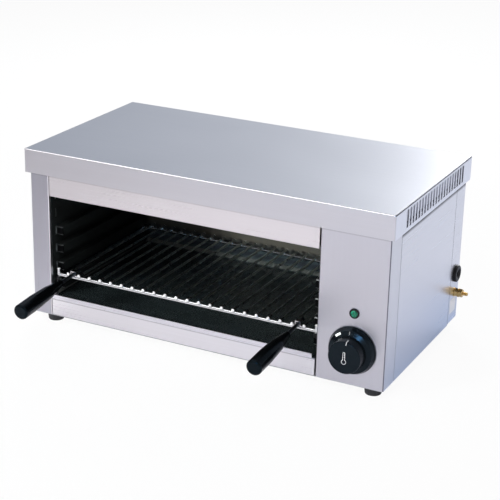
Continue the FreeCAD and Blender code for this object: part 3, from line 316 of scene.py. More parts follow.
# %% [markdown]
# ## Effects that several finishes share
#
# Brushing, dust, handling marks and the fine skin of a moulding turn up again and again. Each is
# a node group with named inputs, built once and placed in every material that needs it, with its
# own values. A group here gives out masks, shades and heights, and the Principled shader stays
# in the material, where the numbers that are the same all over are easy to find.

# %% Helpers that open and close a node group
def effect(name, **inputs):
    tree = bpy.data.node_groups.new(name, "ShaderNodeTree")
    for label, start in inputs.items():
        kind = "NodeSocketVector" if isinstance(start, tuple) else "NodeSocketFloat"
        tree.interface.new_socket(label, in_out="INPUT", socket_type=kind).default_value = start
    sockets = tree.nodes.new("NodeGroupInput").outputs
    return tree, {label: Value(sockets[label]) for label in inputs}


def give(tree, **outputs):
    for label in outputs:
        tree.interface.new_socket(label, in_out="OUTPUT", socket_type="NodeSocketFloat")
    node(tree, "NodeGroupOutput", outputs)
    print("group:", tree.name, "gives", ", ".join(outputs))
    return tree


# %% [markdown]
# ### Brushed grain
#
# Sheet steel is brushed along its length, which leaves scratches a few centimetres long and far
# thinner than a millimetre. Noise stretched along one direction gives the same streaks. The
# Stretch input says which way: a small number leaves the noise long in that direction, a large
# one makes it thin. Soft clouds go with it, because no sheet reflects evenly. A sheet that is bent
# round a corner carries its grain with it, so on faces that look sideways the X and Y places
# change over: the direction of the face says which of the two is used.

# %% Node group: brushed grain
tree, given = effect("brushed_grain", Stretch=(6.0, 900.0, 900.0), Contrast=0.1, Clouds=0.05, Roughness=0.3)
place = object_place(tree)
x, y, z = split(place)
turned = result(tree, "ShaderNodeCombineXYZ", {0: y, 1: x, 2: z})
looks_sideways = abs(facing(tree)[0]) > 0.8
followed = result(tree, "ShaderNodeMix", {0: looks_sideways, 4: place, 5: turned}, 1, data_type="VECTOR")
along = scaled(followed, given["Stretch"])
fine = noise(along, 1.0, 3.0, 0.6)
streak = noise(along, 0.22, 2.0, 0.5)
cloud = noise(place, 5.0, 3.0, 0.5, 0.6)
grain = fine * 0.6 + streak * 0.4
lined = (grain - 0.5) * given["Contrast"]
clouded = (cloud - 0.5) * given["Clouds"]
uneven = (fine - 0.5) * 0.16 + clouded * 1.2
brushed_grain = give(tree, Shade=lined + clouded + 1.0, Roughness=(given["Roughness"] + uneven).clamped(),
                     Height=grain)

# %% [markdown]
# ### Handling marks
#
# Fingers leave faint dull patches where a machine is touched. Rings from a stretched Voronoi
# pattern would look like real prints, but at this distance only the patches show, so broken
# clouds with a hard-ish edge are enough. The mask only ever roughens a surface a little.

# %% Node group: handling marks
tree, given = effect("handling_marks", Size=30.0, Cover=0.4)
place = object_place(tree)
patches = noise(place, given["Size"], 4.0, 0.6, 1.2)
veil = noise(place, given["Size"] * 0.25)
edge = 1.0 - given["Cover"]
handling_marks = give(tree, Mask=(patches.ranged(edge, edge + 0.18) * veil).clamped())

# %% [markdown]
# ### Settled dust
#
# Dust lies on what faces up and never on what hangs. The surface normal tells the two apart: its
# Z is 1 on a level top and 0 on a wall. Multiplied by noise, that gives a broken film.

# %% Node group: settled dust
tree, given = effect("settled_dust", Amount=0.2, Size=60.0)
specks = noise(object_place(tree), given["Size"], 5.0, 0.7)
settled_dust = give(tree, Mask=(facing(tree)[2].ranged(0.4, 1.0) * specks * given["Amount"]).clamped())

# %% [markdown]
# ### Cast and moulded skin
#
# Moulded plastic, rubber and baked enamel share one look up close: a fine, even pebble, with
# a slower wave under it where the skin shrank. Two sizes of noise give both.

# %% Node group: moulded skin
tree, given = effect("moulded_skin", Pebble=1500.0, Wave=90.0, Tone=0.1, Roughness=0.4, Spread=0.1)
place = object_place(tree)
pebble = noise(place, given["Pebble"])
wave = noise(place, given["Wave"], 3.0)
spread = (pebble + wave - 1.0) * given["Spread"]
moulded_skin = give(tree, Shade=(wave - 0.5) * given["Tone"] + 1.0,
                    Roughness=(given["Roughness"] + spread).clamped(), Height=pebble * 0.7 + wave * 0.3)

# %% [markdown]
# ### Zinc spangle
#
# Galvanised sheet freezes into flat crystals a few millimetres across, each a slightly different
# grey. A Voronoi cell has one random colour, so its red channel is one grey for each crystal.

# %% Node group: zinc spangle
tree, given = effect("zinc_spangle", Crystals=160.0, Contrast=0.2, Roughness=0.4)
place = object_place(tree)
wobble = result(tree, "ShaderNodeTexNoise", {"Vector": place, "Scale": 70.0}, "Color")
bent = result(tree, "ShaderNodeVectorMath", {0: place, 1: scaled(wobble, (0.004, 0.004, 0.004))},
              operation="ADD")
crystal = result(tree, "ShaderNodeTexVoronoi", {"Vector": bent, "Scale": given["Crystals"]}, "Color")
step = (result(tree, "ShaderNodeSeparateColor", {0: crystal}) - 0.5) * given["Contrast"]
zinc_spangle = give(tree, Shade=step + 1.0, Roughness=(given["Roughness"] + step * 0.8).clamped())

# %% [markdown]
# ### Painted shade in a seam
#
# Where one sheet tucks under another, a thin dark line of shade is painted into the colour, with a little
# added roughness: right under the lid's skirt, under the lip of the crumb tray, and on the back wall just
# above the tray. A seam that lies level needs only a height: the mask is full at Level and fades out
# downwards over Reach, and noise breaks it up so that it isn't ruled.

# %% Node group: painted seam shade
tree, given = effect("painted_seam_shade", Level=0.246, Reach=0.004)
place = object_place(tree)
below = (given["Level"] - split(place)[2]) / given["Reach"]
broken = noise(place, 55.0, 3.0, 0.6).ranged(0.25, 0.75, 0.7, 1.0)
painted_seam_shade = give(tree, Mask=((1.0 - below).clamped() * (below > -1.0) * broken).clamped())

# %% [markdown]
# ### A change with height
#
# The enamel of the back wall browns where the elements heat it most, and the tray's low walls are painted a
# lighter grey, a painted light on the rim. Both changes only follow the height, so one mask does for both: 0
# at From, 1 at To, and broken by slow noise so that the line between them isn't ruled.

# %% Node group: change with height
tree, given = effect("height_change", From=0.0, To=0.1)
place = object_place(tree)
broken = noise(place, 28.0, 3.0, 0.6).ranged(0.3, 0.7, 0.75, 1.0)
height_change = give(tree, Mask=(split(place)[2].ranged(given["From"], given["To"]) * broken).clamped())

# %% [markdown]
# ### Heat on the wires
#
# Chrome over a hot cavity doesn't stay bright. The wires go matt and dark with burnt fat, while
# the bar at the front, which is wiped and stays cool, keeps its shine. The mask grows with the
# distance behind the front bar, and eases again at the rear bar, which lies against the cooler wall.

# %% Node group: heat on the wires
tree, given = effect("burnt_wire", From=0.0, To=0.1, Rear=0.2)
place = object_place(tree)
depth = split(place)[1]
broken = noise(place, 90.0, 3.0, 0.6).ranged(0.3, 0.7, 0.82, 1.0)
before_rear = (depth - given["Rear"]).ranged(-0.004, 0.0, 1.0, 0.35)
worn = broken * before_rear
burnt_wire = give(tree, Mask=(depth.ranged(given["From"], given["To"]) * worn).clamped())

# %% [markdown]
# ### Painted light and shade on a bend
#
# A fold catches the light as a thin line down the corner, and here that line is painted into the colour:
# painted shade on one sheet, a painted highlight on another. The faces of an upright fold are the only ones
# that look halfway between forwards and sideways, so the product of the normal's X and Y finds them. The Side
# mask marks the flange round the corner, which is painted in the lighter colour of a side face, and the Level
# mask marks a level fold such as the lid's front edge, which gets a painted highlight. The Across mask marks
# the level folds at the lid's two ends, where a thin dark line of painted shade runs.

# %% Node group: line on a bend
tree, given = effect("bend_line", Strength=0.8)
x, y, z = facing(tree)
bend_line = give(tree, Mask=(abs(x * y).ranged(0.12, 0.40) * given["Strength"]).clamped(),
                 Side=abs(x).ranged(0.90, 0.99), Level=abs(y * z).ranged(0.12, 0.40),
                 Across=abs(x * z).ranged(0.05, 0.22))

# %% [markdown]
# ### Scuffed runner ends
#
# A shelf that is pushed in meets the front ends of its runners first, and chips the enamel there
# down to bright steel. The chips draw the outline of each runner's end: its upper edge, its lower
# edge and the corner where it grows out of the wall. Inside that outline the end is sooty black.
# The runners repeat at one pitch, so a fraction of the height over that pitch finds them all with
# one set of nodes.

# %% Node group: scuffed runner ends
CHIP_WIDTH = 0.0010
tree, given = effect("scuffed_ends", Front=0.0, First=0.0, Pitch=0.029, Rise=0.0142, Wall=0.262, Middle=0.0)
place = object_place(tree)
x, y, z = split(place)
at_front = abs(y - given["Front"]) < CHIP_WIDTH * 2
rise = calc("FRACT", (z - given["First"]) / given["Pitch"]) * given["Pitch"]
low_edge = abs(rise - CHIP_WIDTH) < CHIP_WIDTH * 0.8
high_edge = abs(rise - (given["Rise"] - CHIP_WIDTH)) < CHIP_WIDTH * 0.8
at_wall = abs(x - given["Middle"]) > given["Wall"] - CHIP_WIDTH * 1.6
on_runner = rise < given["Rise"]
outline = low_edge | high_edge | at_wall * on_runner
chips = noise(place, 420.0, 3.0, 0.6).ranged(0.30, 0.46, 0.25, 1.0)
scuffed_ends = give(tree, Mask=(at_front * outline * chips).clamped(),
                    Soot=(at_front * on_runner * (1.0 - outline)).clamped())

# %% [markdown]
# ### The line that a mould leaves
#
# The grips are pressed in a mould of two halves, and where the halves meet a fine raised line is
# left along each grip. It is far too thin to model, but a ridge in the bump catches the light
# where it crosses a highlight. First and Second are the places of the two grips' middles.

# %% Node group: moulding line
tree, given = effect("moulding_line", First=-0.2, Second=0.2, Width=0.0005)
x = split(object_place(tree))[0]
near = calc("MINIMUM", abs(x - given["First"]), abs(x - given["Second"]))
moulding_line = give(tree, Height=(1.0 - near / given["Width"]).clamped())

# %% [markdown]
# ## Building a finish
#
# All finishes are made the same way: a plain colour, multiplied by a group's Shade, a Roughness from the
# group, and a small bump from its Height. One function does that wiring. Wear, and the painted shade and
# painted highlights on seams, folds and rims, go on top, each kind only where it is asked for: it blends in a
# colour by its mask, and most kinds roughen the surface too. Numbers for the specular and the like go
# straight onto the Principled shader.

# %% The function that builds a finish
DUST_GREY = (0.45, 0.44, 0.42)
# The next two colours paint shade: the line under a seam and the line across a fold.
SEAM_SHADE_COLOUR = (0.026, 0.028, 0.036)
PAINTED_FOLD_SHADE = (0.020, 0.022, 0.030)
SOOT = (0.0006, 0.0007, 0.0008)
CHIPPED_STEEL = (0.22, 0.24, 0.24)
DUST_ROUGHENS, SEAM_SHADE_ROUGHENS, FAT_ROUGHENS, SOOT_ROUGHENS = 0.6, 0.3, 0.22, 0.5
FOLD_ROUGHNESS = 0.14
SKIRT_SHARE, FLANGE_SHARE = 0.9, 0.8
LINE_HEIGHT = 2.5


def placed(tree, group, **values):
    made = node(tree, "ShaderNodeGroup", values, node_tree=group)
    return {socket.name: Value(socket) for socket in made.outputs}


def finish(name, colour, group, values, metal=0.0, bump=0.0, bump_reach=0.0002, dust=None, marks=None,
           seam=None, chipped=None, ridge=None, faded=None, burnt=None, bend=None, polished_fold=None,
           **plain):
    material = bpy.data.materials.new(name)
    tree = empty_tree(material)
    skin = placed(tree, group, **values)
    shade = result(tree, "ShaderNodeCombineColor", {0: skin["Shade"], 1: skin["Shade"], 2: skin["Shade"]})
    toned = result(tree, "ShaderNodeMix", {0: 1.0, 6: (*colour, 1.0), 7: shade}, 2, data_type="RGBA",
                   blend_type="MULTIPLY")
    rough = skin["Roughness"]
    if dust:
        film = placed(tree, settled_dust, Amount=dust[0], Size=dust[1])["Mask"]
        toned = blend(film, toned, DUST_GREY)
        rough = (rough + film * DUST_ROUGHENS).clamped()
    if marks:
        touched = placed(tree, handling_marks, Size=marks[0], Cover=marks[1])["Mask"]
        rough = (rough + touched * marks[2]).clamped()
    # A seam paints a thin dark line of shade under a proud edge.
    if seam:
        shade_line = placed(tree, painted_seam_shade, Level=seam[0], Reach=seam[1])["Mask"]
        toned = blend(shade_line * seam[2], toned, SEAM_SHADE_COLOUR)
        rough = (rough + shade_line * SEAM_SHADE_ROUGHENS).clamped()
    # On the lid: a painted highlight on level folds, painted side-face light on the skirts, and painted shade
    # across the ends.
    if polished_fold:
        folds = placed(tree, bend_line)
        toned = blend(folds["Level"], toned, polished_fold[0])
        toned = blend(folds["Side"] * SKIRT_SHARE, toned, polished_fold[1])
        toned = blend(folds["Across"], toned, PAINTED_FOLD_SHADE)
        rough = result(tree, "ShaderNodeMix", {0: folds["Level"], 2: rough, 3: FOLD_ROUGHNESS})
    # On a post or panel: painted side-face light on the flange, and a painted line of shade or highlight down
    # the fold.
    if bend:
        folds = placed(tree, bend_line, Strength=bend[0])
        toned = blend(folds["Side"] * FLANGE_SHARE, toned, bend[1])
        toned = blend(folds["Mask"], toned, bend[2])
    # By height: heat browning on the back wall, and painted light on the tray's low walls.
    if faded:
        toned = blend(placed(tree, height_change, From=faded[0], To=faded[1])["Mask"], toned, faded[2])
    if burnt:
        dark = placed(tree, burnt_wire, From=burnt[0], To=burnt[1], Rear=burnt[2])["Mask"]
        toned = blend(dark, toned, burnt[3])
        rough = (rough + dark * FAT_ROUGHENS).clamped()
    if chipped:
        runner_end = placed(tree, scuffed_ends, **chipped)
        metal = runner_end["Mask"]
        toned = blend(metal, blend(runner_end["Soot"], toned, SOOT), CHIPPED_STEEL)
        rough = (rough + runner_end["Soot"] * SOOT_ROUGHENS).clamped()
    inputs = {"Base Color": toned, "Roughness": rough, "Metallic": metal}
    if bump and "Height" in skin:
        height = skin["Height"]
        if ridge:
            height = height + placed(tree, moulding_line, **ridge)["Height"] * LINE_HEIGHT
        relief = {"Strength": bump, "Distance": bump_reach, "Height": height}
        inputs["Normal"] = result(tree, "ShaderNodeBump", relief)
    shader = node(tree, "ShaderNodeBsdfPrincipled", inputs)
    for label, setting in plain.items():
        shader.inputs[label.replace("_", " ")].default_value = setting
    node(tree, "ShaderNodeOutputMaterial", {"Surface": Value(shader.outputs[0])})
    return material


def brushed(name, colour, stretch, contrast, clouds, roughness, **extra):
    values = {"Stretch": stretch, "Contrast": contrast, "Clouds": clouds, "Roughness": roughness}
    return finish(name, colour, brushed_grain, values, **extra)


def moulded(name, colour, pebble, wave, tone, roughness, spread, **extra):
    values = {"Pebble": pebble, "Wave": wave, "Tone": tone, "Roughness": roughness, "Spread": spread}
    return finish(name, colour, moulded_skin, values, **extra)


def wear(material, *names):
    for name in names:
        for slot in parts[name].material_slots:
            slot.material = material
    print(material.name, "->", ", ".join(names))


# %% [markdown]
# ## Stainless steel sheets
#
# The sheets are one grade of steel, yet no two look alike: the lid is bluish, the rails are nearly white and
# the left post is the darkest. In life that comes from the direction of the brushing, which decides what a
# sheet mirrors. Here each direction is a finish of its own, with the streaks running as they do on the real
# sheet, and its base colour is painted lighter or darker to give that sheet's brightness: painted light and
# shade on one steel.
#
# A seam's painted line of shade is given by its level, its reach and its strength. The one on the side panels
# starts lower, because the skirt stands off them and hides their first few millimetres from above.

# %% Brushed steel, one finish for each direction
ALONG_X = (5.0, 850.0, 850.0)
ALONG_Y = (850.0, 5.0, 850.0)
ALONG_Z = (850.0, 850.0, 5.0)
WALL_COLOUR = (0.76, 0.765, 0.785)
# These colours are painted light and shade on folds: a highlight on the lid's front fold, side-face light on
# its skirts, and a line of shade or highlight down an upright fold.
PAINTED_EDGE_HIGHLIGHT, PAINTED_SKIRT_LIGHT = (0.93, 0.93, 0.95), (0.84, 0.86, 0.90)
PAINTED_BEND_SHADE, PAINTED_BEND_HIGHLIGHT = (0.10, 0.10, 0.13), (0.95, 0.95, 0.97)

lid_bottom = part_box("top_cover")[0][2]
# Each of these paints a line of shade under a proud edge: level, reach and strength.
under_lid = (lid_bottom, 0.0045, 0.75)
under_side_skirt = (lid_bottom - 0.0072, 0.0048, 1.0)
under_lip = (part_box("lower_front_rail")[1][2], 0.0030, 0.85)


def brushed_steel(name, colour, stretch, roughness, contrast=0.10, **extra):
    return brushed(name, colour, stretch, contrast, 0.05, roughness, metal=1.0, bump=0.12,
                   bump_reach=0.00004, marks=(26.0, 0.36, 0.05), **extra)


wear(brushed_steel("steel_lid", (0.64, 0.645, 0.675), ALONG_X, 0.36,
                   polished_fold=(PAINTED_EDGE_HIGHLIGHT, PAINTED_SKIRT_LIGHT)), "top_cover")
wear(brushed_steel("steel_upper_rail", (0.76, 0.745, 0.76), ALONG_X, 0.30, seam=under_lid),
     "upper_front_rail")
wear(brushed_steel("steel_lower_rail", (0.86, 0.865, 0.89), ALONG_X, 0.30, seam=under_lip),
     "lower_front_rail")
wear(brushed_steel("steel_tray_lip", (0.83, 0.84, 0.89), ALONG_X, 0.28), "tray_lip")
wear(brushed_steel("steel_control_panel", (0.62, 0.62, 0.655), ALONG_Z, 0.40, contrast=0.06, seam=under_lid,
                   bend=(0.85, WALL_COLOUR, PAINTED_BEND_SHADE)), "control_panel")
wear(brushed_steel("steel_left_post", (0.46, 0.47, 0.52), ALONG_Z, 0.32, contrast=0.08, seam=under_lid,
                   bend=(0.9, WALL_COLOUR, PAINTED_BEND_HIGHLIGHT)), "left_front_post")
wear(brushed_steel("steel_walls", WALL_COLOUR, ALONG_X, 0.30, seam=under_side_skirt),
     "left_side_panel", "right_side_panel", "back_panel")

# %% [markdown]
# ## The cavity
#
# The liner and the crumb tray are baked black enamel, so the cavity is nearly black and shows
# only soft teal-grey mirrorings of the bright room. Black is easy to overdo: a base of pure
# black loses all form, so the enamel keeps a trace of colour, and a low specular keeps the
# white room from washing over it. Above hang the elements in their heat-darkened sheaths, under
# a reflector of bright rolled aluminium.

# %% Enamel, reflector and heating elements
RUNNER_PITCH, RUNNER_RISE, RUNNER_FIRST, RUNNER_SETBACK = 0.0290, 0.0142, 0.0412, 0.0175
BROWNED_FROM, BROWNED_TO, RIM_LIGHT_FROM, RIM_LIGHT_TO = 0.074, 0.084, 0.0025, 0.0045
BROWNED, PAINTED_RIM_LIGHT = (0.078, 0.071, 0.056), (0.15, 0.165, 0.155)
body_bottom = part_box("base_panel")[0][2]
body_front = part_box("control_panel")[0][1]
left_wall, right_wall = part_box("liner_back")[0][0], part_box("liner_back")[1][0]
tray_low, tray_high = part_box("crumb_tray")[0][2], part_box("crumb_tray")[1][2]
# The seam here paints a dark band of shade on the back wall just above the tray's rim.
behind_tray = (tray_high + 0.0040, 0.0050, 0.9)
runner_ends = {"Front": body_front + RUNNER_SETBACK, "First": body_bottom + RUNNER_FIRST,
               "Pitch": RUNNER_PITCH, "Rise": RUNNER_RISE, "Wall": (right_wall - left_wall) / 2,
               "Middle": (left_wall + right_wall) / 2}
wear(moulded("cavity_enamel", (0.0140, 0.0170, 0.0170), 700.0, 24.0, 0.5, 0.34, 0.12, bump=0.08,
             dust=(0.012, 90.0), chipped=runner_ends, Specular_IOR_Level=0.10), "liner_left", "liner_right")
wear(moulded("cavity_back_enamel", (0.044, 0.065, 0.072), 700.0, 12.0, 0.7, 0.40, 0.12, bump=0.08,
             dust=(0.012, 90.0), seam=behind_tray, faded=(BROWNED_FROM, BROWNED_TO, BROWNED),
             Specular_IOR_Level=0.3), "liner_back")
# The tray's low walls are painted lighter from just above its floor, a painted light on the rim.
wear(moulded("tray_enamel", (0.0118, 0.0185, 0.0200), 700.0, 18.0, 0.5, 0.26, 0.12, bump=0.08,
             dust=(0.02, 120.0), faded=(tray_low + RIM_LIGHT_FROM, tray_low + RIM_LIGHT_TO, PAINTED_RIM_LIGHT),
             Specular_IOR_Level=0.35), "crumb_tray")
wear(brushed("reflector_aluminium", (0.62, 0.62, 0.60), ALONG_X, 0.16, 0.30, 0.24, metal=1.0, bump=0.1,
             bump_reach=0.00005), "heat_reflector")
wear(moulded("element_sheath", (0.16, 0.145, 0.13), 900.0, 45.0, 0.9, 0.48, 0.25, metal=1.0, bump=0.25),
     "heating_element_front", "heating_element_middle", "heating_element_rear")
wear(brushed("bracket_steel", (0.42, 0.41, 0.40), ALONG_Y, 0.2, 0.4, 0.45, metal=1.0, bump=0.2,
             bump_reach=0.00005), "element_brackets")

# %% [markdown]
# ## Hidden metal and insulation
#
# The base, the shield and the tray runners are galvanised, and so are the baffles behind the lid's vents,
# which are painted pale and bluish, a painted light that lifts them out of the shade behind the vents. The
# fasteners are bright zinc, and the pockets round the cavity are stuffed with mineral wool. Little of this
# shows, and only through the vents, from behind or with the tray out, but each other piece still gets the
# finish that it has in life.

# %% Galvanised steel, zinc, ceramic and wool
wear(finish("galvanised_steel", (0.55, 0.57, 0.58), zinc_spangle,
            {"Crystals": 150.0, "Contrast": 0.28, "Roughness": 0.42}, metal=1.0, dust=(0.08, 80.0)),
     "base_panel", "compartment_shield", "tray_runner_left", "tray_runner_right", "thermostat_body")
# The baffles are painted pale and bluish, a painted light in the shade behind the vents.
wear(finish("baffle_steel_painted_pale", (0.82, 0.86, 0.98), zinc_spangle,
            {"Crystals": 240.0, "Contrast": 0.12, "Roughness": 0.55}, metal=0.15, Specular_IOR_Level=0.3),
     "vent_baffles")
zinc = brushed("zinc_fasteners", (0.62, 0.62, 0.60), (700.0, 700.0, 700.0), 0.25, 0.2, 0.30, metal=1.0,
               bump=0.1, bump_reach=0.00005)
wear(zinc, "element_studs", "thermostat_screws", "thermostat_spindle", "foot_screws", "foot_nuts",
     "lid_screws", "back_panel_screws")
wear(moulded("ceramic_insulator", (0.86, 0.84, 0.78), 1800.0, 120.0, 0.12, 0.62, 0.12, bump=0.3),
     "element_insulators", "terminal_block")
wear(brushed("mineral_wool", (0.62, 0.58, 0.45), (160.0, 160.0, 700.0), 1.1, 0.4, 0.95, bump=0.9,
             bump_reach=0.0015), "roof_insulation", "rear_insulation", "left_insulation", "right_insulation")

# %% [markdown]
# ## Chromed wire
#
# The shelf is chromed steel wire. Chrome is a mirror, so it shows black and white bands rather than grey. A
# very low roughness with a faint haze gives that, and the colour stays just under white, because real chrome
# mirrors about two thirds of the light. Behind the front bar the heat has dulled it, while the saddles of the
# handles are still bright. The cropped ends of the wires are ground matt and painted near white, a painted
# glint that shows them as bright dots, and the shanks are blued steel, so they nearly vanish against the
# cavity.

# %% Chrome and steel for the shelf and its handles
BURNT_WIRE = (0.44, 0.49, 0.50)
HEAT_STARTS, HEAT_FULL, REAR_BAR_DEPTH = 0.006, 0.012, 0.011
polish = {"metal": 1.0, "bump": 0.05, "bump_reach": 0.0001}
shelf_front, shelf_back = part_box("shelf_grid")[0][1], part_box("shelf_grid")[1][1]
heat = (shelf_front + HEAT_STARTS, shelf_front + HEAT_FULL, shelf_back - REAR_BAR_DEPTH, BURNT_WIRE)
wire_chrome = moulded("chromed_wire", (0.66, 0.69, 0.70), 900.0, 60.0, 0.25, 0.09, 0.08, burnt=heat, **polish)
# The wire ends are painted near white, a painted glint.
ground_ends_painted_glint = brushed("ground_wire_ends_painted_glint", (0.90, 0.91, 0.91), (900.0, 900.0, 900.0), 0.25, 0.1, 0.36,
                      metal=0.45, bump=0.1, bump_reach=0.00005)
wear(wire_chrome, "shelf_grid")
wear(moulded("bright_chrome", (0.78, 0.80, 0.81), 900.0, 60.0, 0.15, 0.14, 0.10, **polish), "handle_saddles")
wear(moulded("blued_shank", (0.10, 0.115, 0.135), 900.0, 60.0, 0.25, 0.30, 0.12, **polish),
     "handle_shank_left", "handle_shank_right")

# %% [markdown]
# ## Black mouldings, rubber, brass and the lamp
#
# The grips and the knob are a hard, glossy phenolic; the cable bush and the lamp's bezel are
# nylon, a little duller; the feet are rubber, duller still. All are black, and only gloss and
# skin tell them apart. The brass of the bonding terminal is the one warm note, and the lamp's
# green lens the one bright colour.

# %% Plastics, rubber, brass, lens and neon
grip_middles = [sum(corner[0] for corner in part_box(name)) / 2
                for name in ("handle_grip_left", "handle_grip_right")]
# The grips and the knob carry a blue specular tint, which paints their reflections blue.
wear(moulded("grip_phenolic", (0.0012, 0.0016, 0.0020), 2200.0, 70.0, 0.4, 0.20, 0.10, bump=0.06,
             bump_reach=0.0001, marks=(60.0, 0.42, 0.12),
             ridge={"First": grip_middles[0], "Second": grip_middles[1], "Width": 0.0004},
             Specular_IOR_Level=0.16, Specular_Tint=(0.45, 0.78, 1.0, 1.0)),
     "handle_grip_left", "handle_grip_right")
wear(moulded("knob_phenolic", (0.0028, 0.0042, 0.0056), 2200.0, 50.0, 0.4, 0.20, 0.08, bump=0.05,
             bump_reach=0.0001, marks=(70.0, 0.40, 0.14), Specular_IOR_Level=0.20,
             Specular_Tint=(0.55, 0.80, 1.0, 1.0)), "control_knob")
nylon = moulded("black_nylon", (0.005, 0.005, 0.006), 1600.0, 90.0, 0.3, 0.38, 0.12, bump=0.15,
                bump_reach=0.0001, Specular_IOR_Level=0.25)
wear(nylon, "pilot_lamp_bezel", "pilot_lamp_nut", "cable_bush", "cable_bush_locknut")
wear(moulded("foot_rubber", (0.022, 0.022, 0.024), 1100.0, 60.0, 0.3, 0.72, 0.15, bump=0.35,
             dust=(0.25, 140.0)), "foot_front_left", "foot_front_right", "foot_rear_left", "foot_rear_right")
brass = brushed("brass", (0.72, 0.50, 0.20), (900.0, 60.0, 60.0), 0.35, 0.5, 0.26, metal=1.0, bump=0.1,
                bump_reach=0.00005)
wear(brass, "bonding_stud", "bonding_nuts", "bonding_washers", "thermostat_tabs")
wear(moulded("green_lens", (0.006, 0.14, 0.078), 600.0, 200.0, 0.35, 0.10, 0.06, bump=0.1,
             Specular_IOR_Level=0.35), "pilot_lamp_lens")
wear(moulded("neon_glass", (0.85, 0.85, 0.85), 900.0, 200.0, 0.05, 0.05, 0.02, Alpha=0.35), "pilot_lamp_neon")

# %% [markdown]
# ## Making meshes by hand
#
# The small made details are new pieces. Nearly all of them can be drawn as rows of points with a
# skin of quads between them: a ring that moves along an axis makes a screw head, a thread or a
# nut, and a short arc that moves makes a printed mark. So a few helpers are enough. One lays out a
# ring, one spans the skin, and one turns the finished mesh into an object, softens its shading,
# keeps its sharp edges, and lets it ride on the body that carries it. The last one finds the
# separate solids of a CAD node, so that each screw or nut is made where its own solid stands.

# %% Helpers for new pieces
def skin_between(shape, rows, ring=True, ends=False):
    lines = [[shape.verts.new(point) for point in row] for row in rows]
    count = len(rows[0])
    for low, high in zip(lines, lines[1:]):
        for here in range(count if ring else count - 1):
            there = (here + 1) % count
            shape.faces.new((low[here], low[there], high[there], high[here]))
    if ends:
        shape.faces.new(lines[0][::-1])
        shape.faces.new(lines[-1])


def flat_face(shape, points):
    shape.faces.new([shape.verts.new(point) for point in points])


def circle(centre, axis, across, radius, rise, count):
    axis, across = Vector(axis), Vector(across)
    other = axis.cross(across)
    angles = [math.tau * step / count for step in range(count)]
    return [Vector(centre) + axis * rise + (across * math.cos(angle) + other * math.sin(angle)) * radius
            for angle in angles]


def new_piece(name, shape, material, body, replaces=(), sharp=32):
    bmesh.ops.remove_doubles(shape, verts=shape.verts, dist=1e-7)
    bmesh.ops.recalc_face_normals(shape, faces=shape.faces)
    mesh = bpy.data.meshes.new(name)
    shape.to_mesh(mesh)
    shape.free()
    for face in mesh.polygons:
        face.use_smooth = True
    mesh.set_sharp_from_angle(angle=math.radians(sharp))
    mesh.materials.append(material)
    piece = bpy.data.objects.new(name, mesh)
    bpy.context.scene.collection.objects.link(piece)
    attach(piece, body)
    if replaces:
        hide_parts(*replaces)
    print(name, "has", len(mesh.polygons), "faces")


def solid_boxes(name):
    """The box of each separate solid of a CAD node."""
    shape = bmesh.new()
    shape.from_mesh(parts[name].data)
    bmesh.ops.remove_doubles(shape, verts=shape.verts, dist=1e-6)
    left, boxes = set(shape.verts), []
    while left:
        found = [left.pop()]
        for vertex in found:
            for edge in vertex.link_edges:
                other = edge.other_vert(vertex)
                if other in left:
                    left.remove(other)
                    found.append(other)
        boxes.append([Vector([pick(v.co[axis] for v in found) for axis in range(3)]) for pick in (min, max)])
    shape.free()
    return sorted(boxes, key=lambda box: tuple(box[0]))


# %% [markdown]
# ## Screws with a cross recess
#
# The lid and the back panel are held by small pan-head screws. In CAD they are plain cones. A pan
# head is a low dome with a steep rim, and its cross recess has four arms with sloping floors. The
# head here is a fine disc of rings, and each point's height is the dome minus the recess, so one
# formula makes both. Every screw is turned a little further than the one before, as in life.

# %% Make the pan-head screws
HEAD_HEIGHT, HEAD_RINGS, HEAD_STEPS = 0.0022, 22, 64
SHANK_RADIUS, POINT_LENGTH = 0.0020, 0.0006
RECESS_ARM, RECESS_HALF_WIDTH, RECESS_DEPTH = 0.00205, 0.00042, 0.00125
RECESS_SIDE_RUN, RECESS_END_RUN = 0.00012, 0.0009
FIRST_TURN, FURTHER_TURN = 0.5, 1.1


def cross_recess(u, v):
    along, across = max(abs(u), abs(v)), min(abs(u), abs(v))
    half_width = RECESS_HALF_WIDTH * (1.25 - 0.45 * along / RECESS_ARM)
    inside = min(1.0, max(0.0, (half_width - across) / RECESS_SIDE_RUN + 0.5))
    return RECESS_DEPTH * inside * min(1.0, max(0.0, (RECESS_ARM - along) / RECESS_END_RUN))


def pan_screw(shape, low, high, turn):
    radius = (high.x - low.x) / 2
    base = Vector(((low.x + high.x) / 2, high.y - HEAD_HEIGHT, (low.z + high.z) / 2))
    rows = []
    for step in range(HEAD_RINGS, 0, -1):
        r = radius * step / HEAD_RINGS
        dome_height = HEAD_HEIGHT * (1 - 0.62 * (r / radius) ** 3.2)
        row = []
        for number in range(HEAD_STEPS):
            angle = math.tau * number / HEAD_STEPS
            height = dome_height - cross_recess(r * math.cos(angle - turn), r * math.sin(angle - turn))
            row.append(base + Vector((r * math.cos(angle), height, r * math.sin(angle))))
        rows.append(row)
    rim = [point - Vector((0, point.y - base.y, 0)) for point in rows[0]]
    skin_between(shape, [rim] + rows)
    flat_face(shape, rows[-1])
    tip = low.y - base.y
    shank = [(radius, 0), (SHANK_RADIUS, 0), (SHANK_RADIUS, tip + POINT_LENGTH), (SHANK_RADIUS * 0.7, tip)]
    skin_between(shape, [circle(base, (0, 1, 0), (0, 0, 1), reach, rise, HEAD_STEPS)
                         for reach, rise in shank])


for name in ("lid_screws", "back_panel_screws"):
    shape = bmesh.new()
    for number, (low, high) in enumerate(solid_boxes(name)):
        pan_screw(shape, low, high, FIRST_TURN + FURTHER_TURN * number)
    new_piece(name + "_made", shape, zinc, "cabinet", replaces=[name])

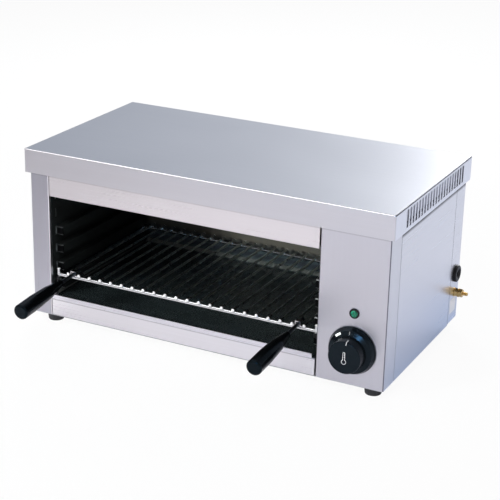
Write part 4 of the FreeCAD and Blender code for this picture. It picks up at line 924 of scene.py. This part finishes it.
# %% [markdown]
# ## The bonding terminal
#
# The brass stud on the right side bonds the machine to its neighbours. A thread can be faked in a
# bump map, but this one is seen against the white ground, so its outline has to be toothed. The
# radius at each point follows from its place along the stud less its share of a turn, which is
# just what a helix is. The nuts get the chamfers that every turned nut has: their faces are cut
# by a cone, so the height of the cut grows with the distance from the axis.

# %% Make the threaded stud and the chamfered nuts
THREAD_PITCH, THREAD_DEPTH, THREAD_STEPS, STUD_CHAMFER = 0.0010, 0.00055, 8, 0.0009
NUT_BORE, BORE_CHAMFER, BORE_CHAMFER_DEPTH = 0.0030, 0.0003, 0.0004
CONE_FOOT_SHARE, CONE_SLOPE = 0.96, 0.58


def stud_circle(start, radius, rise, count):
    return circle(start, (1, 0, 0), (0, 0, 1), radius, rise, count)


def threaded_rod(shape, start, radius, length, count=28):
    rows = []
    for step in range(int(length / THREAD_PITCH * THREAD_STEPS) + 1):
        rise = THREAD_PITCH / THREAD_STEPS * step
        chamfered = radius - STUD_CHAMFER + min(rise, length - rise)
        centre = start + Vector((rise, 0, 0))
        row = []
        for number, point in enumerate(stud_circle(start, 1.0, rise, count)):
            share = (rise / THREAD_PITCH - number / count) % 1.0
            tooth = min(1.0, max(0.0, 2.4 * abs(share - 0.5) - 0.1))
            row.append(centre + (point - centre) * min(radius - THREAD_DEPTH * (1 - tooth), chamfered))
        rows.append(row)
    skin_between(shape, rows, ends=True)


def chamfered_nut(shape, start, half_flats, height, count=48):
    cone_foot, bore_rim = half_flats * CONE_FOOT_SHARE, NUT_BORE + BORE_CHAMFER
    rows = [stud_circle(start, bore_rim, 0, count), stud_circle(start, cone_foot, 0, count)]
    for side in (0, 1):
        row = []
        for number, point in enumerate(stud_circle(start, 1.0, 0, count)):
            angle = (math.tau * number / count + math.pi / 6) % (math.pi / 3) - math.pi / 6
            reach = half_flats / math.cos(math.pi / 6 - abs(angle))
            cut = (reach - cone_foot) * CONE_SLOPE
            row.append(start + (point - start) * reach + Vector((height - cut if side else cut, 0, 0)))
        rows.append(row)
    inwards = [(cone_foot, height), (bore_rim, height), (NUT_BORE, height - BORE_CHAMFER_DEPTH),
               (NUT_BORE, BORE_CHAMFER_DEPTH), (bore_rim, 0)]
    skin_between(shape, rows + [stud_circle(start, radius, rise, count) for radius, rise in inwards])


low, high = (Vector(corner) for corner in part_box("bonding_stud"))
stud_middle = (low + high) / 2
shape = bmesh.new()
threaded_rod(shape, Vector((low.x, stud_middle.y, stud_middle.z)), (high.z - low.z) / 2, high.x - low.x)
new_piece("bonding_stud_threaded", shape, brass, "cabinet", replaces=["bonding_stud"], sharp=50)
shape = bmesh.new()
for low, high in solid_boxes("bonding_nuts"):
    chamfered_nut(shape, Vector((low.x, stud_middle.y, stud_middle.z)), (high.y - low.y) / 2, high.x - low.x)
new_piece("bonding_nuts_chamfered", shape, brass, "cabinet", replaces=["bonding_nuts"], sharp=25)

# %% [markdown]
# ## Welds and wire ends on the shelf
#
# The shelf's wires are resistance-welded to its cross bars. Under heat and pressure the crossing softens, and
# a little metal swells out on both sides of the wire. Each bead below is a flattened ball whose points are
# pushed in and out by a sum of sines, so that no two beads are alike, and nothing random is needed. The
# cropped wires and the turned-up ends of the bars are ground to low domes, and their finish is painted near
# white, a painted glint that shows them as a row of bright dots along the front of the shelf. The thick side
# rails end in black caps, which spare the enamel when the shelf is pushed in.

# %% Make the weld beads and the domed ends
WIRE_COUNT, WIRE_RADIUS, BAR_RADIUS, SIDE_RAIL_RADIUS, WELD_SINK = 22, 0.0020, 0.0030, 0.0035, 0.0004
REAR_BAR_FROM_END = 0.0080
WIRE_BEAD, RAIL_BEAD = (0.0031, 0.0023, 0.0011), (0.0030, 0.0031, 0.0013)
FRONT_DOME, REAR_DOME, BAR_DOME, CAP_DOME = 0.0012, 0.0011, 0.0014, 0.0016
FRONT_BURR, CAP_WALL = 1.25, 0.0003
low, high = (Vector(corner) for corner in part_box("shelf_grid"))
shelf_left, shelf_right = low.x + SIDE_RAIL_RADIUS, high.x - SIDE_RAIL_RADIUS
bar_height = low.z + SIDE_RAIL_RADIUS * 2 - WELD_SINK + BAR_RADIUS
wire_height = bar_height + BAR_RADIUS + WIRE_RADIUS - WELD_SINK
front_bar, rear_bar = low.y + BAR_RADIUS, high.y - REAR_BAR_FROM_END
wire_places = [shelf_left + (shelf_right - shelf_left) * (number + 1) / (WIRE_COUNT + 1)
               for number in range(WIRE_COUNT)]


def bead(shape, centre, size, seed):
    made = bmesh.ops.create_uvsphere(shape, u_segments=14, v_segments=8, radius=1.0)["verts"]
    for vertex in made:
        x, y, z = vertex.co
        swell = 1 + 0.10 * math.sin(3.1 * x + seed) + 0.08 * math.sin(4.3 * y + 2.0 * seed)
        vertex.co = Vector(centre) + Vector((x * size[0], y * size[1], z * size[2])) * swell


def dome(shape, centre, axis, radius, height, burr=1.0):
    profile = [(0.80, -0.9), (burr, -0.5), (burr, 0.0), (0.97 * burr, 0.28), (0.85 * burr, 0.58),
               (0.62 * burr, 0.82), (0.32, 0.96), (0.04, 1.0)]
    skin_between(shape, [circle(centre, axis, (1, 0, 0), radius * reach, height * rise, 18)
                         for reach, rise in profile], ends=True)


shape = bmesh.new()
for number, x in enumerate(wire_places):
    for y in (front_bar, rear_bar):
        bead(shape, (x, y, bar_height + BAR_RADIUS - WELD_SINK / 2), WIRE_BEAD, number + 40 * y)
for x in (shelf_left, shelf_right):
    for y in (front_bar, rear_bar):
        bead(shape, (x, y, bar_height - BAR_RADIUS), RAIL_BEAD, 9 * x + 40 * y)
new_piece("shelf_weld_beads", shape, wire_chrome, "shelf", sharp=80)

shape = bmesh.new()
for x in wire_places:
    dome(shape, (x, low.y, wire_height), (0, -1, 0), WIRE_RADIUS, FRONT_DOME, FRONT_BURR)
    dome(shape, (x, high.y, wire_height), (0, 1, 0), WIRE_RADIUS, REAR_DOME)
for x in (shelf_left, shelf_right):
    dome(shape, (x, front_bar, high.z), (0, 0, 1), BAR_RADIUS, BAR_DOME)
new_piece("shelf_wire_ends", shape, ground_ends_painted_glint, "shelf", sharp=60)

shape = bmesh.new()
for x in (shelf_left, shelf_right):
    dome(shape, (x, low.y, low.z + SIDE_RAIL_RADIUS), (0, -1, 0), SIDE_RAIL_RADIUS + CAP_WALL, CAP_DOME)
new_piece("side_rail_caps", shape, nylon, "shelf", sharp=60)

# %% [markdown]
# ## Marks on the knob
#
# The white marks are ink in the moulding's surface. They could be masks in the material, but
# crisp edges need either a picture or many nodes, and ink has a little thickness anyway. So each
# mark is a thin skin over the knob. Most of them lie on a surface of revolution, where a mark is a
# stretch of the knob's profile swept over a small angle. They ride on the knob and turn with it:
# the dash and the tick on the ring round the cap, and the pointer that runs from the cap's face
# over its edge. The skin stands off by a tenth of a millimetre, and by a quarter of one at the
# pointer, because a row of flat quads cuts a little below the rounded edge that it goes over.

# %% Make the dash, the tick and the pointer
INK = 0.00010
RAISED_INK = INK * 2.5
CAP_RADIUS, CAP_FOOT_RADIUS, CAP_HEIGHT, CAP_ROUND = 0.0244, 0.0258, 0.0180, 0.0015
CREASE_RADIUS, CREASE_BELOW_FACE = 0.0326, 0.0205
POINTER_FROM_EDGE = 0.0045
EDGE_STEPS = 8
white_ink = moulded("white_ink", (0.78, 0.79, 0.80), 1500.0, 260.0, 0.18, 0.45, 0.12, bump=0.1)
low, high = (Vector(corner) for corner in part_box("control_knob"))
knob_middle = Vector(((low.x + high.x) / 2, low.y, (low.z + high.z) / 2))


def on_ring(*radii):
    """Radii and depths behind the face, on the sloping ring between the cap's foot and the crease."""
    slope = (CREASE_BELOW_FACE - CAP_HEIGHT) / (CREASE_RADIUS - CAP_FOOT_RADIUS)
    return [(radius, CAP_HEIGHT + (radius - CAP_FOOT_RADIUS) * slope - INK) for radius in radii]


def swept_mark(shape, path, degrees_from_top, width, steps=8, width_grows=False):
    rows = []
    for radius, depth in path:
        spread = width / (path[0][0] if width_grows else radius)
        middle = math.radians(degrees_from_top)
        angles = [middle + spread * (step / steps - 0.5) for step in range(steps + 1)]
        rows.append([knob_middle + Vector((-math.sin(angle) * radius, depth, math.cos(angle) * radius))
                     for angle in angles])
    skin_between(shape, rows, ring=False)


shape = bmesh.new()
swept_mark(shape, on_ring(0.0289, 0.0305, 0.0320), 37, 0.0086, steps=14, width_grows=True)
swept_mark(shape, on_ring(0.0278, 0.0318), 2, 0.0007)
over_edge = CAP_ROUND + RAISED_INK
edge_turn = [(CAP_RADIUS - CAP_ROUND + over_edge * math.sin(angle), CAP_ROUND - over_edge * math.cos(angle))
             for angle in (math.pi / 2 * step / EDGE_STEPS for step in range(EDGE_STEPS + 1))]
side_run = [(CAP_RADIUS + RAISED_INK + (CAP_FOOT_RADIUS - CAP_RADIUS) * share,
             CAP_ROUND + (CAP_HEIGHT - CAP_ROUND) * share) for share in (0.15, 0.30)]
pointer = [(CAP_RADIUS - POINTER_FROM_EDGE, -RAISED_INK)] + edge_turn + side_run
swept_mark(shape, pointer, -7, 0.0011)
print("pointer path:", len(pointer), "places")

# %% [markdown]
# ### The thermometer sign
#
# The sign in the middle of the cap is a plain thermometer: a bulb and a stem drawn as one outline,
# with three ticks inside the stem. Two outlines, one inset from the other by the width of the
# line, give the two rows that a skin needs. It joins the other marks in one piece.

# %% Add the thermometer and make the marks
BULB_RADIUS, STEM_HALF_WIDTH, STEM_TOP, LINE_WIDTH = 0.0037, 0.0018, 0.0089, 0.0007
BULB_MIDDLE = -0.0061
BULB_STEPS, STEM_STEPS = 22, 10
FIRST_TICK, TICK_STEP, TICK_HEIGHT, TICK_LEFT, TICK_RIGHT = 0.0075, 0.0024, 0.0006, 0.0001, 0.0013


def thermometer_line(inset):
    bulb, stem = BULB_RADIUS - inset, STEM_HALF_WIDTH - inset
    start = math.asin(stem / bulb)
    around = [start + (math.tau - 2 * start) * step / BULB_STEPS for step in range(BULB_STEPS + 1)]
    points = [(bulb * math.sin(angle), BULB_MIDDLE + bulb * math.cos(angle)) for angle in around]
    over = [math.pi * step / STEM_STEPS for step in range(STEM_STEPS + 1)]
    shoulder = STEM_TOP - STEM_HALF_WIDTH
    points += [(-stem * math.cos(angle), shoulder + stem * math.sin(angle)) for angle in over]
    return [knob_middle + Vector((x, -INK, z)) for x, z in points]


skin_between(shape, [thermometer_line(0.0), thermometer_line(LINE_WIDTH)])
for number in range(3):
    bottom = BULB_MIDDLE + FIRST_TICK + TICK_STEP * number
    top = bottom + TICK_HEIGHT
    corners = ((TICK_LEFT, bottom), (TICK_RIGHT, bottom), (TICK_RIGHT, top), (TICK_LEFT, top))
    flat_face(shape, [knob_middle + Vector((x, -INK, z)) for x, z in corners])
new_piece("knob_marks", shape, white_ink, "knob", sharp=60)

# %% [markdown]
# ## The blank rating label
#
# A plain white vinyl label sits low on the right side, near the rear corner, where such machines
# carry their rating data. Nothing is printed on it here. It is a sheet a fifth of a millimetre
# thick with rounded corners, and its rim is turned down a little, as a label's edge is once it has
# been rubbed on.

# %% Make the label
LABEL_THICKNESS, LABEL_CORNER, LABEL_RIM, CORNER_STEPS = 0.00020, 0.0015, 0.0004, 5
LABEL_FRONT, LABEL_REAR, LABEL_BOTTOM, LABEL_TOP = 0.1208, 0.1465, 0.0334, 0.0566
side_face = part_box("right_side_panel")[1][0]


def label_outline(inset, lift):
    front, rear = LABEL_FRONT + LABEL_CORNER, LABEL_REAR - LABEL_CORNER
    bottom, top = LABEL_BOTTOM + LABEL_CORNER, LABEL_TOP - LABEL_CORNER
    reach = LABEL_CORNER - inset
    points = []
    for quarter, (y, z) in enumerate([(rear, top), (front, top), (front, bottom), (rear, bottom)]):
        for step in range(CORNER_STEPS + 1):
            angle = math.pi / 2 * (quarter + step / CORNER_STEPS)
            over, up = reach * math.cos(angle), reach * math.sin(angle)
            points.append(Vector((side_face + lift, y + over, z + up)))
    return points


label_vinyl = moulded("label_vinyl", (0.93, 0.94, 0.96), 900.0, 60.0, 0.08, 0.38, 0.08, bump=0.05,
                      bump_reach=0.0001)
shape = bmesh.new()
label_face = label_outline(LABEL_RIM, LABEL_THICKNESS)
skin_between(shape, [label_outline(0, 0), label_outline(0, LABEL_THICKNESS * 0.6), label_face])
flat_face(shape, label_face)
new_piece("blank_label", shape, label_vinyl, "cabinet", sharp=60)
